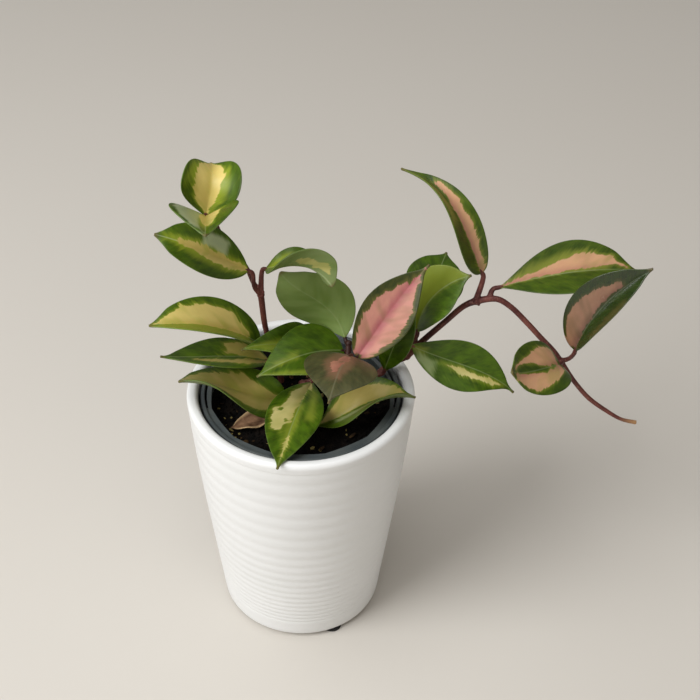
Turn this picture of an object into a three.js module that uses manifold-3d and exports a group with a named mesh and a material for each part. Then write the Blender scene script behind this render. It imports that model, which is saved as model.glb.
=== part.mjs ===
// Wax plant with cream and pink leaves, in a dark nursery pot that stands in a white ribbed cover pot.
// Millimetres, +Z up. The origin is on the cover pot's axis, at the table that its pads stand on.

import * as THREE from 'three';
import { mergeVertices } from 'three/addons/utils/BufferGeometryUtils.js';
import Module from 'manifold-3d';

const wasm = await Module();
wasm.setup();

// Driving dimensions of the cover pot. Heights below are above the cover pot's underside.
const PAD_THICK = 1.2;
const PAD_RADIUS = 5.5;
const PAD_CIRCLE = 39.5;
const PAD_ANGLES = { pad_front: -64, pad_right: 56, pad_left: 176 };
const POT_HEIGHT = 148;
const RIM_RADIUS = 60;
const BASE_RADIUS = 45;
const BASE_ROUND = 3.7;
const LIP_ROUND = 2.6;
const LIP_WIDTH = 6.0;
const WALL_THICK = 5.0;
const WALL_BELLY = 0.8;
const RIB_FIRST = 13.2;
const RIB_STEP_LOW = 3.0;
const RIB_STEP_TOP = 9.0;
const RIB_STEP_GROWTH = 0.085;
const RIB_DEPTH_LOW = 0.45;
const RIB_DEPTH_TOP = 0.3;
const FLOOR_THICK = 5.0;
const POT_SIDES = 36;

// Nursery pot, standing on the cover pot's floor.
const SEAT_GAP = 0.3;
const NURSERY_BASE = FLOOR_THICK + SEAT_GAP;
const NURSERY_TOP = 145.3;
const LEDGE_TOP = 144.3;
const LEDGE_THICK = 1.2;
const NURSERY_RIM = 52.7;
const LIP_INNER = 50.55;
const SKIRT_THICK = 1.2;
const SKIRT_DROP = 12;
const NURSERY_WALL_TOP = 49.4;
const NURSERY_WALL_BASE = 34.8;
const NURSERY_THICK = 0.9;
const NURSERY_SIDES = 36;
const OPENING_FLATS = 12;
const OPENING_APOTHEM = 47;
const DRAIN_HOLES = 4;
const DRAIN_CIRCLE = 22;
const DRAIN_RADIUS = 4;
const SLOT_INNER = 49.45;
const SLOT_ARCS = [[118, 194], [-13, 62], [75, 105]];

// Soil, filled to a little below the ledge.
const SOIL_EDGE = 137;
const SOIL_CROWN = 1.6;
const SOIL_ROUGHNESS = 0.5;
const HOLE_GAP = 0.3;
const HOLE_DEPTH = 14;

// Leaf blades and stems.
const BLADE_MID = 1.3;
const BLADE_EDGE = 0.7;
const BLADE_ROWS = 9;
const BLADE_COLUMNS = 6;
const NECK_HALF = 0.9;
const TIP_HALF = 0.35;
const PETIOLE_GAP = 0.4;
const STEM_SIDES = 7;
const TUBE_STEP = 5.5;

const rad = THREE.MathUtils.degToRad;
const vec = (p) => new THREE.Vector3(p[0], p[1], p[2]);

// Solids from closed geometries, and back.
function solid(geometry) {
  const bare = geometry.index ? geometry.toNonIndexed() : geometry.clone();
  bare.deleteAttribute('normal');
  bare.deleteAttribute('uv');
  const merged = mergeVertices(bare, 1e-4);
  const vertProperties = new Float32Array(merged.attributes.position.array);
  const triVerts = new Uint32Array(merged.index.array);
  return new wasm.Manifold(new wasm.Mesh({ numProp: 3, vertProperties, triVerts }));
}

function geometryOf(body) {
  const mesh = body.getMesh();
  const geometry = new THREE.BufferGeometry();
  const positions = new Float32Array(mesh.vertProperties);
  geometry.setAttribute('position', new THREE.BufferAttribute(positions, mesh.numProp));
  geometry.setIndex(new THREE.BufferAttribute(new Uint32Array(mesh.triVerts), 1));
  geometry.computeVertexNormals();
  return geometry;
}

const joined = (bodies) => bodies.reduce((whole, body) => whole.add(body));

// A lathe about Z from [radius, height] points that start and end on the axis.
function turned(profile, sides) {
  const points = profile.map(([r, z]) => new THREE.Vector2(r, z));
  return new THREE.LatheGeometry(points, sides).rotateX(Math.PI / 2);
}

// A flat outline raised along Z.
function prism(outline, bottom, height) {
  const shape = new THREE.Shape(outline.map(([x, y]) => new THREE.Vector2(x, y)));
  const geometry = new THREE.ExtrudeGeometry(shape, { depth: height, bevelEnabled: false });
  return geometry.translate(0, 0, bottom);
}

const polar = (radius, degrees) => [radius * Math.cos(rad(degrees)), radius * Math.sin(rad(degrees))];

// Cover pot: a tapered wall with a slight belly, ribs that lie closer towards the foot, and a soft lip.
function wallRadius(height) {
  const s = THREE.MathUtils.clamp((height - BASE_ROUND) / (POT_HEIGHT - LIP_ROUND - BASE_ROUND), 0, 1);
  const belly = WALL_BELLY * 4 * s * (1 - s) * (1 + 1.36 * (s - 0.5));
  return THREE.MathUtils.lerp(BASE_RADIUS, RIM_RADIUS, s) + belly;
}

function ribHeights() {
  const heights = [RIB_FIRST];
  while (heights.at(-1) < POT_HEIGHT - 12) {
    const last = heights.at(-1);
    heights.push(last + Math.min(RIB_STEP_TOP, RIB_STEP_LOW + RIB_STEP_GROWTH * (last - RIB_FIRST)));
  }
  return heights;
}

function coverPotGeometry() {
  const profile = [[0, 0], [BASE_RADIUS - BASE_ROUND, 0]];
  for (const turn of [30, 60, 90]) {
    const [across, down] = polar(BASE_ROUND, turn - 90);
    profile.push([BASE_RADIUS - BASE_ROUND + across, BASE_ROUND + down]);
  }
  const ribs = ribHeights();
  profile.push([wallRadius(ribs[0] - 2), ribs[0] - 2]);
  ribs.forEach((height, k) => {
    const depth = THREE.MathUtils.lerp(RIB_DEPTH_LOW, RIB_DEPTH_TOP, height / POT_HEIGHT);
    const next = ribs[k + 1] ?? height + 5;
    const ridge = (height + next) / 2;
    profile.push([wallRadius(height) - depth, height], [wallRadius(ridge), ridge]);
  });
  const lipTop = POT_HEIGHT - LIP_ROUND;
  for (const turn of [0, 30, 60, 90]) {
    const [across, up] = polar(LIP_ROUND, turn);
    profile.push([RIM_RADIUS - LIP_ROUND + across, lipTop + up]);
  }
  for (const turn of [90, 120, 150, 180]) {
    const [across, up] = polar(LIP_ROUND, turn);
    profile.push([RIM_RADIUS - LIP_WIDTH + LIP_ROUND + across, lipTop + up]);
  }
  const innerFoot = BASE_RADIUS - WALL_THICK;
  profile.push([wallRadius(120) - WALL_THICK, 120], [wallRadius(60) - WALL_THICK, 60]);
  profile.push([innerFoot, FLOOR_THICK + 4], [innerFoot - 4, FLOOR_THICK], [0, FLOOR_THICK]);
  return turned(profile, POT_SIDES);
}

function padGeometry(degrees) {
  const [x, y] = polar(PAD_CIRCLE, degrees);
  const outline = Array.from({ length: 12 }, (_, k) => polar(PAD_RADIUS, k * 30));
  return prism(outline, 0, PAD_THICK).translate(x, y, 0);
}

// Nursery pot: thin tapered wall, flat ledge with arc slots, rolled lip and a skirt that hangs outside.
function arcOutline(inner, outer, from, to) {
  const steps = 8;
  const at = (k) => from + ((to - from) * k) / steps;
  const outside = Array.from({ length: steps + 1 }, (_, k) => polar(outer, at(k)));
  const inside = Array.from({ length: steps + 1 }, (_, k) => polar(inner, at(steps - k)));
  return [...outside, ...inside];
}

function nurseryPotGeometry() {
  const underLedge = LEDGE_TOP - LEDGE_THICK;
  const wallInner = NURSERY_WALL_TOP - NURSERY_THICK;
  const skirtFoot = NURSERY_TOP - SKIRT_DROP;
  const profile = [
    [0, NURSERY_BASE],
    [NURSERY_WALL_BASE, NURSERY_BASE],
    [NURSERY_WALL_TOP, underLedge],
    [NURSERY_RIM - SKIRT_THICK, underLedge],
    [NURSERY_RIM - SKIRT_THICK, skirtFoot],
    [NURSERY_RIM, skirtFoot],
    [NURSERY_RIM, NURSERY_TOP - 0.8],
    [NURSERY_RIM - 0.6, NURSERY_TOP],
    [LIP_INNER + 0.6, NURSERY_TOP],
    [LIP_INNER, NURSERY_TOP - 0.6],
    [LIP_INNER, LEDGE_TOP],
    [OPENING_APOTHEM - 2, LEDGE_TOP],
    [OPENING_APOTHEM - 2, underLedge],
    [wallInner, underLedge],
    [NURSERY_WALL_BASE - NURSERY_THICK, NURSERY_BASE + 1.2],
    [0, NURSERY_BASE + 1.2],
  ];
  let body = solid(turned(profile, NURSERY_SIDES));
  const corner = OPENING_APOTHEM / Math.cos(rad(180 / OPENING_FLATS));
  const turn = 360 / OPENING_FLATS;
  const opening = Array.from({ length: OPENING_FLATS }, (_, k) => polar(corner, (k + 0.5) * turn));
  body = body.subtract(solid(prism(opening, underLedge - 0.3, 2)));
  for (const [from, to] of SLOT_ARCS) {
    const slot = arcOutline(SLOT_INNER, LIP_INNER - 0.05, from, to);
    body = body.subtract(solid(prism(slot, underLedge - 0.5, 2.5)));
  }
  for (let k = 0; k < DRAIN_HOLES; k += 1) {
    const [x, y] = polar(DRAIN_CIRCLE, ((k + 0.5) * 360) / DRAIN_HOLES);
    const hole = Array.from({ length: 8 }, (_, n) => polar(DRAIN_RADIUS, n * 45));
    body = body.subtract(solid(prism(hole, NURSERY_BASE - 1, 4).translate(x, y, 0)));
  }
  return geometryOf(body);
}

// Leaf blade: a midrib that may arch and lean, two halves folded along it, and a waved edge.
// Points run from the neck (t = 0) to the tip (t = 1) and from the left edge (u = -1) to the right.
const LEAF_DEFAULTS = {
  widest: 0.45, taper: [0.75, 1], arch: [0, 0], side: [0, 0], fold: [12, 12], cup: 0, twist: [0, 0],
  wave: [0, 2, 0],
};

function midrib(leaf) {
  const base = vec(leaf.base);
  const tip = vec(leaf.tip);
  const along = tip.clone().sub(base);
  const third = along.length() / 3;
  along.normalize();
  const face = vec(leaf.face);
  face.addScaledVector(along, -face.dot(along)).normalize();
  const right = along.clone().cross(face);
  const control = (k) => base.clone()
    .addScaledVector(along, third * (k + 1))
    .addScaledVector(face, leaf.arch[k])
    .addScaledVector(right, leaf.side[k]);
  return { curve: new THREE.CubicBezierCurve3(base, control(0), control(1), tip), face };
}

function halfWidth(leaf, t) {
  const power = Math.log(0.5) / Math.log(leaf.widest);
  const blunt = THREE.MathUtils.lerp(leaf.taper[0], leaf.taper[1], t);
  const swell = Math.max(0, Math.sin(Math.PI * t ** power)) ** blunt;
  return Math.max((leaf.width / 2) * swell, THREE.MathUtils.lerp(NECK_HALF, TIP_HALF, t));
}

function bladeUp(leaf, rib, t) {
  const along = rib.curve.getTangent(t);
  const up = rib.face.clone().addScaledVector(along, -rib.face.dot(along)).normalize();
  return up.applyAxisAngle(along, rad(THREE.MathUtils.lerp(leaf.twist[0], leaf.twist[1], t)));
}

function bladePoint(leaf, rib, t, u) {
  const up = bladeUp(leaf, rib, t);
  const right = rib.curve.getTangent(t).cross(up);
  const fold = rad(u < 0 ? leaf.fold[0] : leaf.fold[1]);
  const reach = Math.abs(u);
  const angle = fold + (rad(leaf.cup) * reach) / 2;
  const width = halfWidth(leaf, t);
  const [waveHeight, waves, phase] = leaf.wave;
  const turns = waves * t + phase + (u > 0 ? 0.5 : 0);
  const wave = waveHeight * reach ** 2 * Math.sin(2 * Math.PI * turns) * Math.sin(Math.PI * t);
  return rib.curve.getPoint(t)
    .addScaledVector(right, width * u * Math.cos(angle))
    .addScaledVector(up, width * reach * Math.sin(angle) + wave);
}

// The way in which the blade has its thickness: square to its face, but straight up where it is so
// narrow, at the neck and the tip, that its two folded halves would run through each other.
function thickWay(leaf, rib, t, u) {
  const step = 0.01;
  const t0 = Math.max(0, t - step);
  const t1 = Math.min(1, t + step);
  const u0 = Math.max(-1, u - step);
  const u1 = Math.min(1, u + step);
  const along = bladePoint(leaf, rib, t1, u).sub(bladePoint(leaf, rib, t0, u));
  const across = bladePoint(leaf, rib, t, u1).sub(bladePoint(leaf, rib, t, u0));
  const crease = Math.tan(rad(Math.min(75, Math.max(...leaf.fold) + leaf.cup / 2)));
  const square = Math.min(1, (halfWidth(leaf, t) - TIP_HALF) / (1 + 4 * crease));
  return bladeUp(leaf, rib, t).lerp(across.cross(along).normalize(), square).normalize();
}

function bladeGeometry(given) {
  const leaf = { ...LEAF_DEFAULTS, ...given };
  const rib = midrib(leaf);
  const positions = [];
  const ring = BLADE_COLUMNS + 1;
  for (const side of [1, -1]) {
    for (let i = 0; i <= BLADE_ROWS; i += 1) {
      const even = i / BLADE_ROWS;
      const t = even - 0.08 * Math.sin(2 * Math.PI * even);
      for (let j = 0; j <= BLADE_COLUMNS; j += 1) {
        const u = (2 * j) / BLADE_COLUMNS - 1;
        const thick = THREE.MathUtils.lerp(BLADE_MID, BLADE_EDGE, u * u);
        const point = bladePoint(leaf, rib, t, u);
        point.addScaledVector(thickWay(leaf, rib, t, u), (side * thick) / 2);
        positions.push(point.x, point.y, point.z);
      }
    }
  }
  const under = (BLADE_ROWS + 1) * ring;
  const index = [];
  const quad = (a, b, c, d) => index.push(a, b, c, a, c, d);
  for (let i = 0; i < BLADE_ROWS; i += 1) {
    for (let j = 0; j < BLADE_COLUMNS; j += 1) {
      const a = i * ring + j;
      const c = a + ring + 1;
      quad(a, a + 1, c, a + ring);
      index.push(under + a, under + c, under + a + 1, under + a, under + a + ring, under + c);
    }
    const left = i * ring;
    const right = left + BLADE_COLUMNS;
    quad(left, left + ring, under + left + ring, under + left);
    quad(right, under + right, under + right + ring, right + ring);
  }
  const tipRow = BLADE_ROWS * ring;
  for (let j = 0; j < BLADE_COLUMNS; j += 1) {
    quad(j, under + j, under + j + 1, j + 1);
    quad(tipRow + j, tipRow + j + 1, under + tipRow + j + 1, under + tipRow + j);
  }
  const geometry = new THREE.BufferGeometry();
  geometry.setAttribute('position', new THREE.Float32BufferAttribute(positions, 3));
  geometry.setIndex(index);
  geometry.computeVertexNormals();
  return geometry;
}

// Leaves: the blade's neck and tip, the way its upper face looks, and its form, in mm and degrees.
// Arch and side bend the midrib a third and two thirds along; fold and twist are [left, right] and
// [neck, tip].
const LEAVES = {
  leaf_top_back: {
    base: [-44, -3.8, 258], tip: [-42, 13.2, 277], face: [0.1, -0.98, 0.3], width: 34, widest: 0.6,
    taper: [0.68, 0.89], arch: [2.5, 18.3], side: [-0.4, 1.3], fold: [21, 21], cup: 30, twist: [-16, 5],
  },
  leaf_top_front: {
    base: [-44, -8.6, 261.8], tip: [-42, -38.5, 271.5], face: [0.03, 0.05, 1], width: 39.5, widest: 0.5,
    taper: [0.6, 0.8], fold: [52, 46], cup: -26,
  },
  leaf_upper_left: {
    base: [-26, 4, 221], tip: [-69, -8, 251], face: [0.28, -0.62, 0.68], width: 26.3, widest: 0.5,
    taper: [0.63, 0.71], arch: [1, 8.4], side: [0.4, 0], fold: [18, 13], twist: [9, 0],
  },
  leaf_arching: {
    base: [-17, 8, 219], tip: [16, -8, 220], face: [0, 0.1, 1.04], width: 28.2, widest: 0.59,
    taper: [0.59, 0.5], arch: [7.5, 14.2], side: [4.8, -1.8], fold: [47, 16], twist: [41, -108],
  },
  leaf_left_high: {
    base: [-21.6, 13, 166], tip: [-76, -5.4, 193.5], face: [-0.02, -0.14, 1], width: 31.2, widest: 0.5,
    taper: [0.5, 0.68], arch: [9.4, 9], side: [2.5, -1.6], fold: [34, 37], twist: [-14, 5],
  },
  leaf_left_middle: {
    base: [-17, 6, 161], tip: [-71, -9, 176.5], face: [-0.27, -0.1, 1], width: 25.9, widest: 0.46,
    taper: [0.7, 1.13], arch: [5.1, -1.5], side: [-0.1, -0.6], fold: [27, 1], twist: [-23, 5],
  },
  leaf_left_low: {
    base: [-8, -3.6, 143.3], tip: [-62, -15.6, 165.3], face: [-0.14, -0.25, 0.96], width: 31.1, widest: 0.45,
    taper: [0.42, 0.5], arch: [-2.9, 2.8], side: [-3.6, 4.1], fold: [16, 14], twist: [-31, 53],
  },
  leaf_fore_small: {
    base: [9, 16, 163], tip: [-30, -5.2, 177.7], face: [-0.22, -0.35, 1.01], width: 28, widest: 0.3,
    taper: [1.12, 1.18], arch: [3.1, 4.2], side: [-3.4, 2.3], fold: [13, 48], twist: [13, 0],
  },
  leaf_fore_dark: {
    base: [22, 4.6, 169.1], tip: [-22, -17.4, 170.1], face: [-0.3, -0.27, 0.97], width: 33.2, widest: 0.34,
    taper: [0.78, 1.07], arch: [6.7, 8.4], side: [1.1, -1.6], fold: [17, 6], twist: [-21, -9],
  },
  leaf_front: {
    base: [6, 4, 148], tip: [-11.1, -62.5, 149.4], face: [0, -0.19, 0.96], width: 29.6, widest: 0.47,
    taper: [0.99, 1.16], arch: [3.8, -1.8], side: [1.4, 1.6], fold: [19, 14], twist: [-6, 3],
  },
  leaf_grey: {
    base: [25, -11, 178.2], tip: [14, -49, 180.2], face: [0.01, -0.4, 0.87], width: 37.2, widest: 0.4,
    taper: [0.5, 1.48], arch: [5.7, 4.7], side: [1.6, 1.3], fold: [4, -4], twist: [0, 4],
  },
  leaf_right_low: {
    base: [8, -23, 142.2], tip: [59, -16, 155], face: [0.21, -0.31, 1.11], width: 31.6, widest: 0.5,
    taper: [1.08, 0.78], arch: [-0.8, 11.9], side: [0.9, -4.7], fold: [47, 34], twist: [10, -47],
  },
  leaf_pink: {
    base: [29, -4, 172], tip: [64, 6, 223], face: [-0.23, -0.75, 0.54], width: 28.4, widest: 0.46,
    taper: [0.63, 1.35], arch: [-1, -0.4], side: [-0.4, -3.1], fold: [18, 19], twist: [8, 2],
  },
  leaf_back_pale: {
    base: [23, 9, 174.6], tip: [-10, 13, 213.6], face: [0.03, 1.16, -0.34], width: 35.3, widest: 0.49,
    taper: [0.81, 0.6], arch: [11.4, -3.4], side: [-8.4, 1.4], fold: [-5, 9], twist: [-8, -10],
  },
  leaf_vine_near: {
    base: [61, 14, 175], tip: [86, 12, 212], face: [-0.06, -0.64, 0.55], width: 29.7, widest: 0.51,
    taper: [0.74, 0.99], arch: [6.2, -1], side: [-7.8, -8.5], fold: [14, 17], twist: [-28, -19],
  },
  leaf_vine_behind: {
    base: [60, 20.5, 167], tip: [77, 49, 199.5], face: [0, -0.6, 0.8], width: 31, widest: 0.62,
    taper: [1.6, 1], arch: [10, 20], fold: [10, 10],
  },
  leaf_vine_inner: {
    base: [44.5, 10.5, 151.5], tip: [58, 10, 198.5], face: [0, -0.5, 0.85], width: 19, widest: 0.5,
    arch: [3, 3], fold: [20, 20],
  },
  leaf_vine_low: {
    base: [58, 9, 169], tip: [112, 0, 144.5], face: [0, -0.43, 0.82], width: 28.2, widest: 0.46,
    taper: [0.83, 1.41], arch: [-0.4, 7.5], side: [0.4, -3.7], fold: [36, 4], twist: [27, 1],
  },
  leaf_vine_arch: {
    base: [91, 12, 214], tip: [50, 34, 261], face: [0.42, -0.6, 0.57], width: 20.6, widest: 0.4,
    taper: [0.62, 0.85], arch: [14.3, 28.4], side: [-4.7, 2.6], fold: [35, 46], twist: [-30, 34],
  },
  leaf_vine_right: {
    base: [101, 15.4, 202], tip: [170, 17.6, 211], face: [-0.08, -0.42, 0.84], width: 33.1, widest: 0.55,
    taper: [0.99, 0.77], arch: [6.1, 8.9], side: [-0.8, -0.5], fold: [27, 27], twist: [8, -6],
  },
  leaf_vine_gloss: {
    base: [141, -1.2, 174.6], tip: [170, -10.4, 232.6], face: [0.03, -0.73, 0.48], width: 32.4, widest: 0.5,
    taper: [0.58, 0.89], arch: [2.8, -0.6], side: [-7.5, -7.1], fold: [9, 70], twist: [-10, 7],
  },
  leaf_vine_round: {
    base: [134, -0.5, 164], tip: [105, -26.5, 181], face: [0.38, -0.5, 0.9], width: 30.5, widest: 0.44,
    taper: [0.46, 0.53], arch: [5.5, -6.5], side: [-1.6, -1.4], fold: [15, 10], twist: [10, -9],
  },
};

const DRY_LEAF = {
  base: [-14.5, -15, 139.8], tip: [-36, -22, 139.4], face: [0, -0.2, 1], width: 15, widest: 0.5,
  arch: [0.8, -0.6], fold: [30, 34], cup: 20, wave: [1.2, 1.5, 0.2],
};

// A closed tube along points, with a radius for each, so that stems can taper and swell.
function tube(points, radii) {
  const curve = new THREE.CatmullRomCurve3(points.map(vec), false, 'centripetal');
  const rings = Math.max(points.length - 1, Math.round(curve.getLength() / TUBE_STEP));
  const frames = curve.computeFrenetFrames(rings, false);
  const positions = [];
  for (let i = 0; i <= rings; i += 1) {
    const place = curve.getPoint(i / rings);
    const at = (i / rings) * (radii.length - 1);
    const low = Math.min(Math.floor(at), radii.length - 2);
    const radius = THREE.MathUtils.lerp(radii[low], radii[low + 1], at - low);
    frames.tangents[i] = curve.getTangent(i / rings);
    for (let k = 0; k < STEM_SIDES; k += 1) {
      const [c, s] = polar(radius, (k * 360) / STEM_SIDES);
      const point = place.clone().addScaledVector(frames.normals[i], c).addScaledVector(frames.binormals[i], s);
      positions.push(point.x, point.y, point.z);
    }
  }
  const index = [];
  for (let i = 0; i < rings; i += 1) {
    for (let k = 0; k < STEM_SIDES; k += 1) {
      const a = i * STEM_SIDES + k;
      const b = i * STEM_SIDES + ((k + 1) % STEM_SIDES);
      index.push(a, b, b + STEM_SIDES, a, b + STEM_SIDES, a + STEM_SIDES);
    }
  }
  const last = rings * STEM_SIDES;
  for (let k = 1; k < STEM_SIDES - 1; k += 1) {
    index.push(0, k + 1, k, last, last + k, last + k + 1);
  }
  const geometry = new THREE.BufferGeometry();
  geometry.setAttribute('position', new THREE.Float32BufferAttribute(positions, 3));
  geometry.setIndex(index);
  return geometry;
}

// A petiole from a point on the stem to just short of its blade's neck, in line with the blade.
function petiole(start, leafName, radius, via = []) {
  const leaf = { ...LEAF_DEFAULTS, ...LEAVES[leafName] };
  const rib = midrib(leaf);
  const out = rib.curve.getTangent(0);
  const neck = vec(leaf.base);
  const before = neck.clone().addScaledVector(out, -3).toArray();
  const end = neck.clone().addScaledVector(out, -PETIOLE_GAP).toArray();
  const points = [start, ...via, before, end];
  return tube(points, [radius * 1.25, ...via.map(() => radius), radius, radius * 0.95]);
}

const knot = (place, radius) => new THREE.SphereGeometry(radius, 8, 6).translate(place[0], place[1], place[2]);

const fused = (geometries) => geometryOf(joined(geometries.map(solid)));

// Left stem: up from the soil to a fork that carries three shoots.
const LEFT_ROOT = [-10, 15.5, SOIL_EDGE - 11];
const LEFT_TURN = [-10.7, 16, 139];
const LEFT_LOW = [-12.3, 17, 151];
const LEFT_NODE = [-15, 17, 162.5];
const LEFT_BEND = [-18, 14.5, 175];
const LEFT_FORK = [-20, 9.5, 202];
const SHOOT = [[-23.5, 10.5, 208.6], [-26.7, 11.5, 217], [-31.8, 12.4, 225.6], [-39.6, 12.6, 238.6], [-41.4, 7.8, 248.6]];

function leftStemGeometry() {
  const crown = [-44, -6, 255.3];
  return fused([
    tube([LEFT_ROOT, LEFT_TURN, LEFT_LOW, LEFT_NODE, LEFT_BEND, LEFT_FORK], [1.6, 1.7, 1.6, 1.6, 1.5, 1.7]),
    tube([LEFT_FORK, ...SHOOT, crown], [1.5, 1.3, 1.2, 1.1, 1.1, 1.1, 1.2]),
    knot(LEFT_NODE, 2.0),
    knot(LEFT_FORK, 2.1),
    knot(crown, 1.6),
    petiole(LEFT_FORK, 'leaf_upper_left', 1.15, [[-23, 6.5, 209]]),
    petiole(LEFT_FORK, 'leaf_arching', 1.2),
    petiole(LEFT_NODE, 'leaf_left_high', 1.2),
    petiole(LEFT_LOW, 'leaf_left_middle', 1.2),
    petiole(crown, 'leaf_top_back', 1.1),
    petiole(crown, 'leaf_top_front', 1.1),
  ]);
}

// Middle stem: short and dark, with two pairs of leaves one above the other.
const MIDDLE_ROOT = [8, 14, SOIL_EDGE - 11];
const MIDDLE_TURN = [9, 13.3, 139];
const MIDDLE_LOW = [14, 11, 152];
const MIDDLE_NODE = [24, 2, 166];
const MIDDLE_TOP = [25, 6, 173];

function middleStemGeometry() {
  return fused([
    tube([MIDDLE_ROOT, MIDDLE_TURN, MIDDLE_LOW, MIDDLE_NODE, MIDDLE_TOP], [1.8, 1.9, 1.8, 1.8, 1.5]),
    knot(MIDDLE_NODE, 2.3),
    knot(MIDDLE_TOP, 1.9),
    petiole(MIDDLE_NODE, 'leaf_pink', 1.2),
    petiole(MIDDLE_NODE, 'leaf_grey', 1.2),
    petiole(MIDDLE_TOP, 'leaf_back_pale', 1.1),
    petiole(MIDDLE_TOP, 'leaf_fore_dark', 1.1),
    petiole(MIDDLE_LOW, 'leaf_fore_small', 1.1),
  ]);
}

// Low stem: lies over the soil in front and carries the three lowest leaves, beside two dry stubs.
const LOW_ROOT = [0, 12, SOIL_EDGE - 11];
const LOW_TURN = [0, 11.6, 140];
const LOW_NODE = [1, 7.5, 144.5];

function lowStemGeometry() {
  return fused([
    tube([LOW_ROOT, LOW_TURN, LOW_NODE], [1.6, 1.7, 1.8]),
    knot(LOW_NODE, 2.1),
    petiole(LOW_NODE, 'leaf_front', 1.1),
    petiole(LOW_NODE, 'leaf_left_low', 1.1),
    petiole(LOW_NODE, 'leaf_right_low', 1.1, [[2.5, -8, 143.5]]),
  ]);
}

const STUBS = {
  stub_left: { points: [[-5, 19, SOIL_EDGE - 8], [-5.5, 19, 143], [-7, 18, 150]], radii: [1.2, 1.2, 1.0] },
  stub_right: { points: [[4, 20, SOIL_EDGE - 8], [4, 20, 142], [6, 19, 147]], radii: [1.1, 1.1, 0.9] },
};

// Vine: over the rim to the right, up to a node, then down in a long bow to its dry tip.
const VINE = [
  [29, 7, SOIL_EDGE - 11], [31, 8, 139], [40, 12, 146], [49, 15.5, 152], [56, 15, 157], [63, 14, 167],
  [75, 13, 182], [84, 12, 193], [90, 12, 196], [100, 11, 198], [107, 10, 194], [117, 8, 184],
  [124, 7, 176], [132, 6, 167], [136, 5, 161], [144, 4, 149], [153, 3, 138], [163, 2, 130],
  [172, 1, 124.5], [180, 0, 123],
];
const VINE_RADII = [1.8, 1.9, 1.8, 1.8, 1.9, 1.7, 1.6, 1.6, 1.9, 1.6, 1.5, 1.5, 1.5, 1.5, 1.7, 1.3, 1.3, 1.2, 1.0, 1.2];
const SPUR = [[56.5, 15, 157.5], [59, 16, 166], [60.2, 15.3, 170]];

function vineGeometry() {
  return fused([
    tube(VINE, VINE_RADII),
    tube(SPUR, [1.7, 1.6, 1.6]),
    knot([56, 15, 157], 2.4),
    knot([89.5, 12, 196], 2.3),
    knot([135.5, 5, 162], 2.0),
    petiole(SPUR[2], 'leaf_vine_near', 1.2),
    petiole(SPUR[1], 'leaf_vine_behind', 1.1, [[58.5, 18, 165]]),
    petiole([40, 12, 146], 'leaf_vine_inner', 1.1),
    petiole([56, 15, 157], 'leaf_vine_low', 1.1, [[56, 13.5, 161.5]]),
    petiole([89.5, 12, 196], 'leaf_vine_arch', 1.3),
    petiole([96, 11.4, 197.5], 'leaf_vine_right', 1.3),
    petiole([135.5, 5, 162], 'leaf_vine_gloss', 1.2, [[139, 4, 164]]),
    petiole([135.5, 5, 162], 'leaf_vine_round', 1.2),
  ]);
}

// Soil: a plug that fills the nursery pot, with a lumpy top and a plain hole for each stem.
const STEM_HOLES = [
  { root: LEFT_ROOT, through: LEFT_TURN, radius: 1.7 },
  { root: MIDDLE_ROOT, through: MIDDLE_TURN, radius: 1.9 },
  { root: LOW_ROOT, through: LOW_TURN, radius: 2.0 },
  { root: VINE[0], through: VINE[1], radius: 2.2 },
  { root: STUBS.stub_left.points[0], through: STUBS.stub_left.points[1], radius: 1.2 },
  { root: STUBS.stub_right.points[0], through: STUBS.stub_right.points[1], radius: 1.2 },
];

function soilTop(radius, degrees) {
  const lumps = Math.sin(radius * 0.55 + rad(degrees * 3)) * Math.cos(radius * 0.31 - rad(degrees * 5));
  const fade = 1 - (radius / OPENING_APOTHEM) ** 4;
  return SOIL_EDGE + SOIL_CROWN * (1 - (radius / OPENING_APOTHEM) ** 2) + SOIL_ROUGHNESS * lumps * fade;
}

function soilGeometry() {
  const wallAt = (z) => THREE.MathUtils.mapLinear(
    z, NURSERY_BASE, LEDGE_TOP - LEDGE_THICK, NURSERY_WALL_BASE, NURSERY_WALL_TOP,
  ) - NURSERY_THICK - 2 * SEAT_GAP;
  const floor = NURSERY_BASE + 1.2 + SEAT_GAP;
  const edge = wallAt(SOIL_EDGE);
  const sides = 36;
  const rings = [0.9, 0.72, 0.54, 0.36, 0.18];
  const profile = [[0, floor], [wallAt(floor), floor], [edge, SOIL_EDGE]];
  rings.forEach((part) => profile.push([edge * part, SOIL_EDGE + 1]));
  profile.push([0, SOIL_EDGE + 1]);
  const geometry = turned(profile, sides);
  const place = geometry.attributes.position;
  for (let k = 0; k < place.count; k += 1) {
    const radius = Math.hypot(place.getX(k), place.getY(k));
    const onTop = place.getZ(k) > SOIL_EDGE - 0.5 && radius < edge - 0.5;
    const turn = (Math.atan2(place.getY(k), place.getX(k)) * 180) / Math.PI;
    if (onTop) place.setZ(k, soilTop(radius, radius < 0.01 ? 0 : Math.round(turn + 360) % 360));
  }
  let body = solid(geometry);
  for (const { root, through, radius } of STEM_HOLES) {
    const start = vec(root);
    const out = vec(through).sub(start).normalize();
    const outline = Array.from({ length: STEM_SIDES }, (_, k) => polar(radius + HOLE_GAP + 0.35, (k * 360) / STEM_SIDES));
    const hole = prism(outline, -HOLE_GAP, HOLE_DEPTH + 6);
    hole.applyQuaternion(new THREE.Quaternion().setFromUnitVectors(new THREE.Vector3(0, 0, 1), out));
    body = body.subtract(solid(hole.translate(start.x, start.y, start.z)));
  }
  return geometryOf(body);
}

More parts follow.
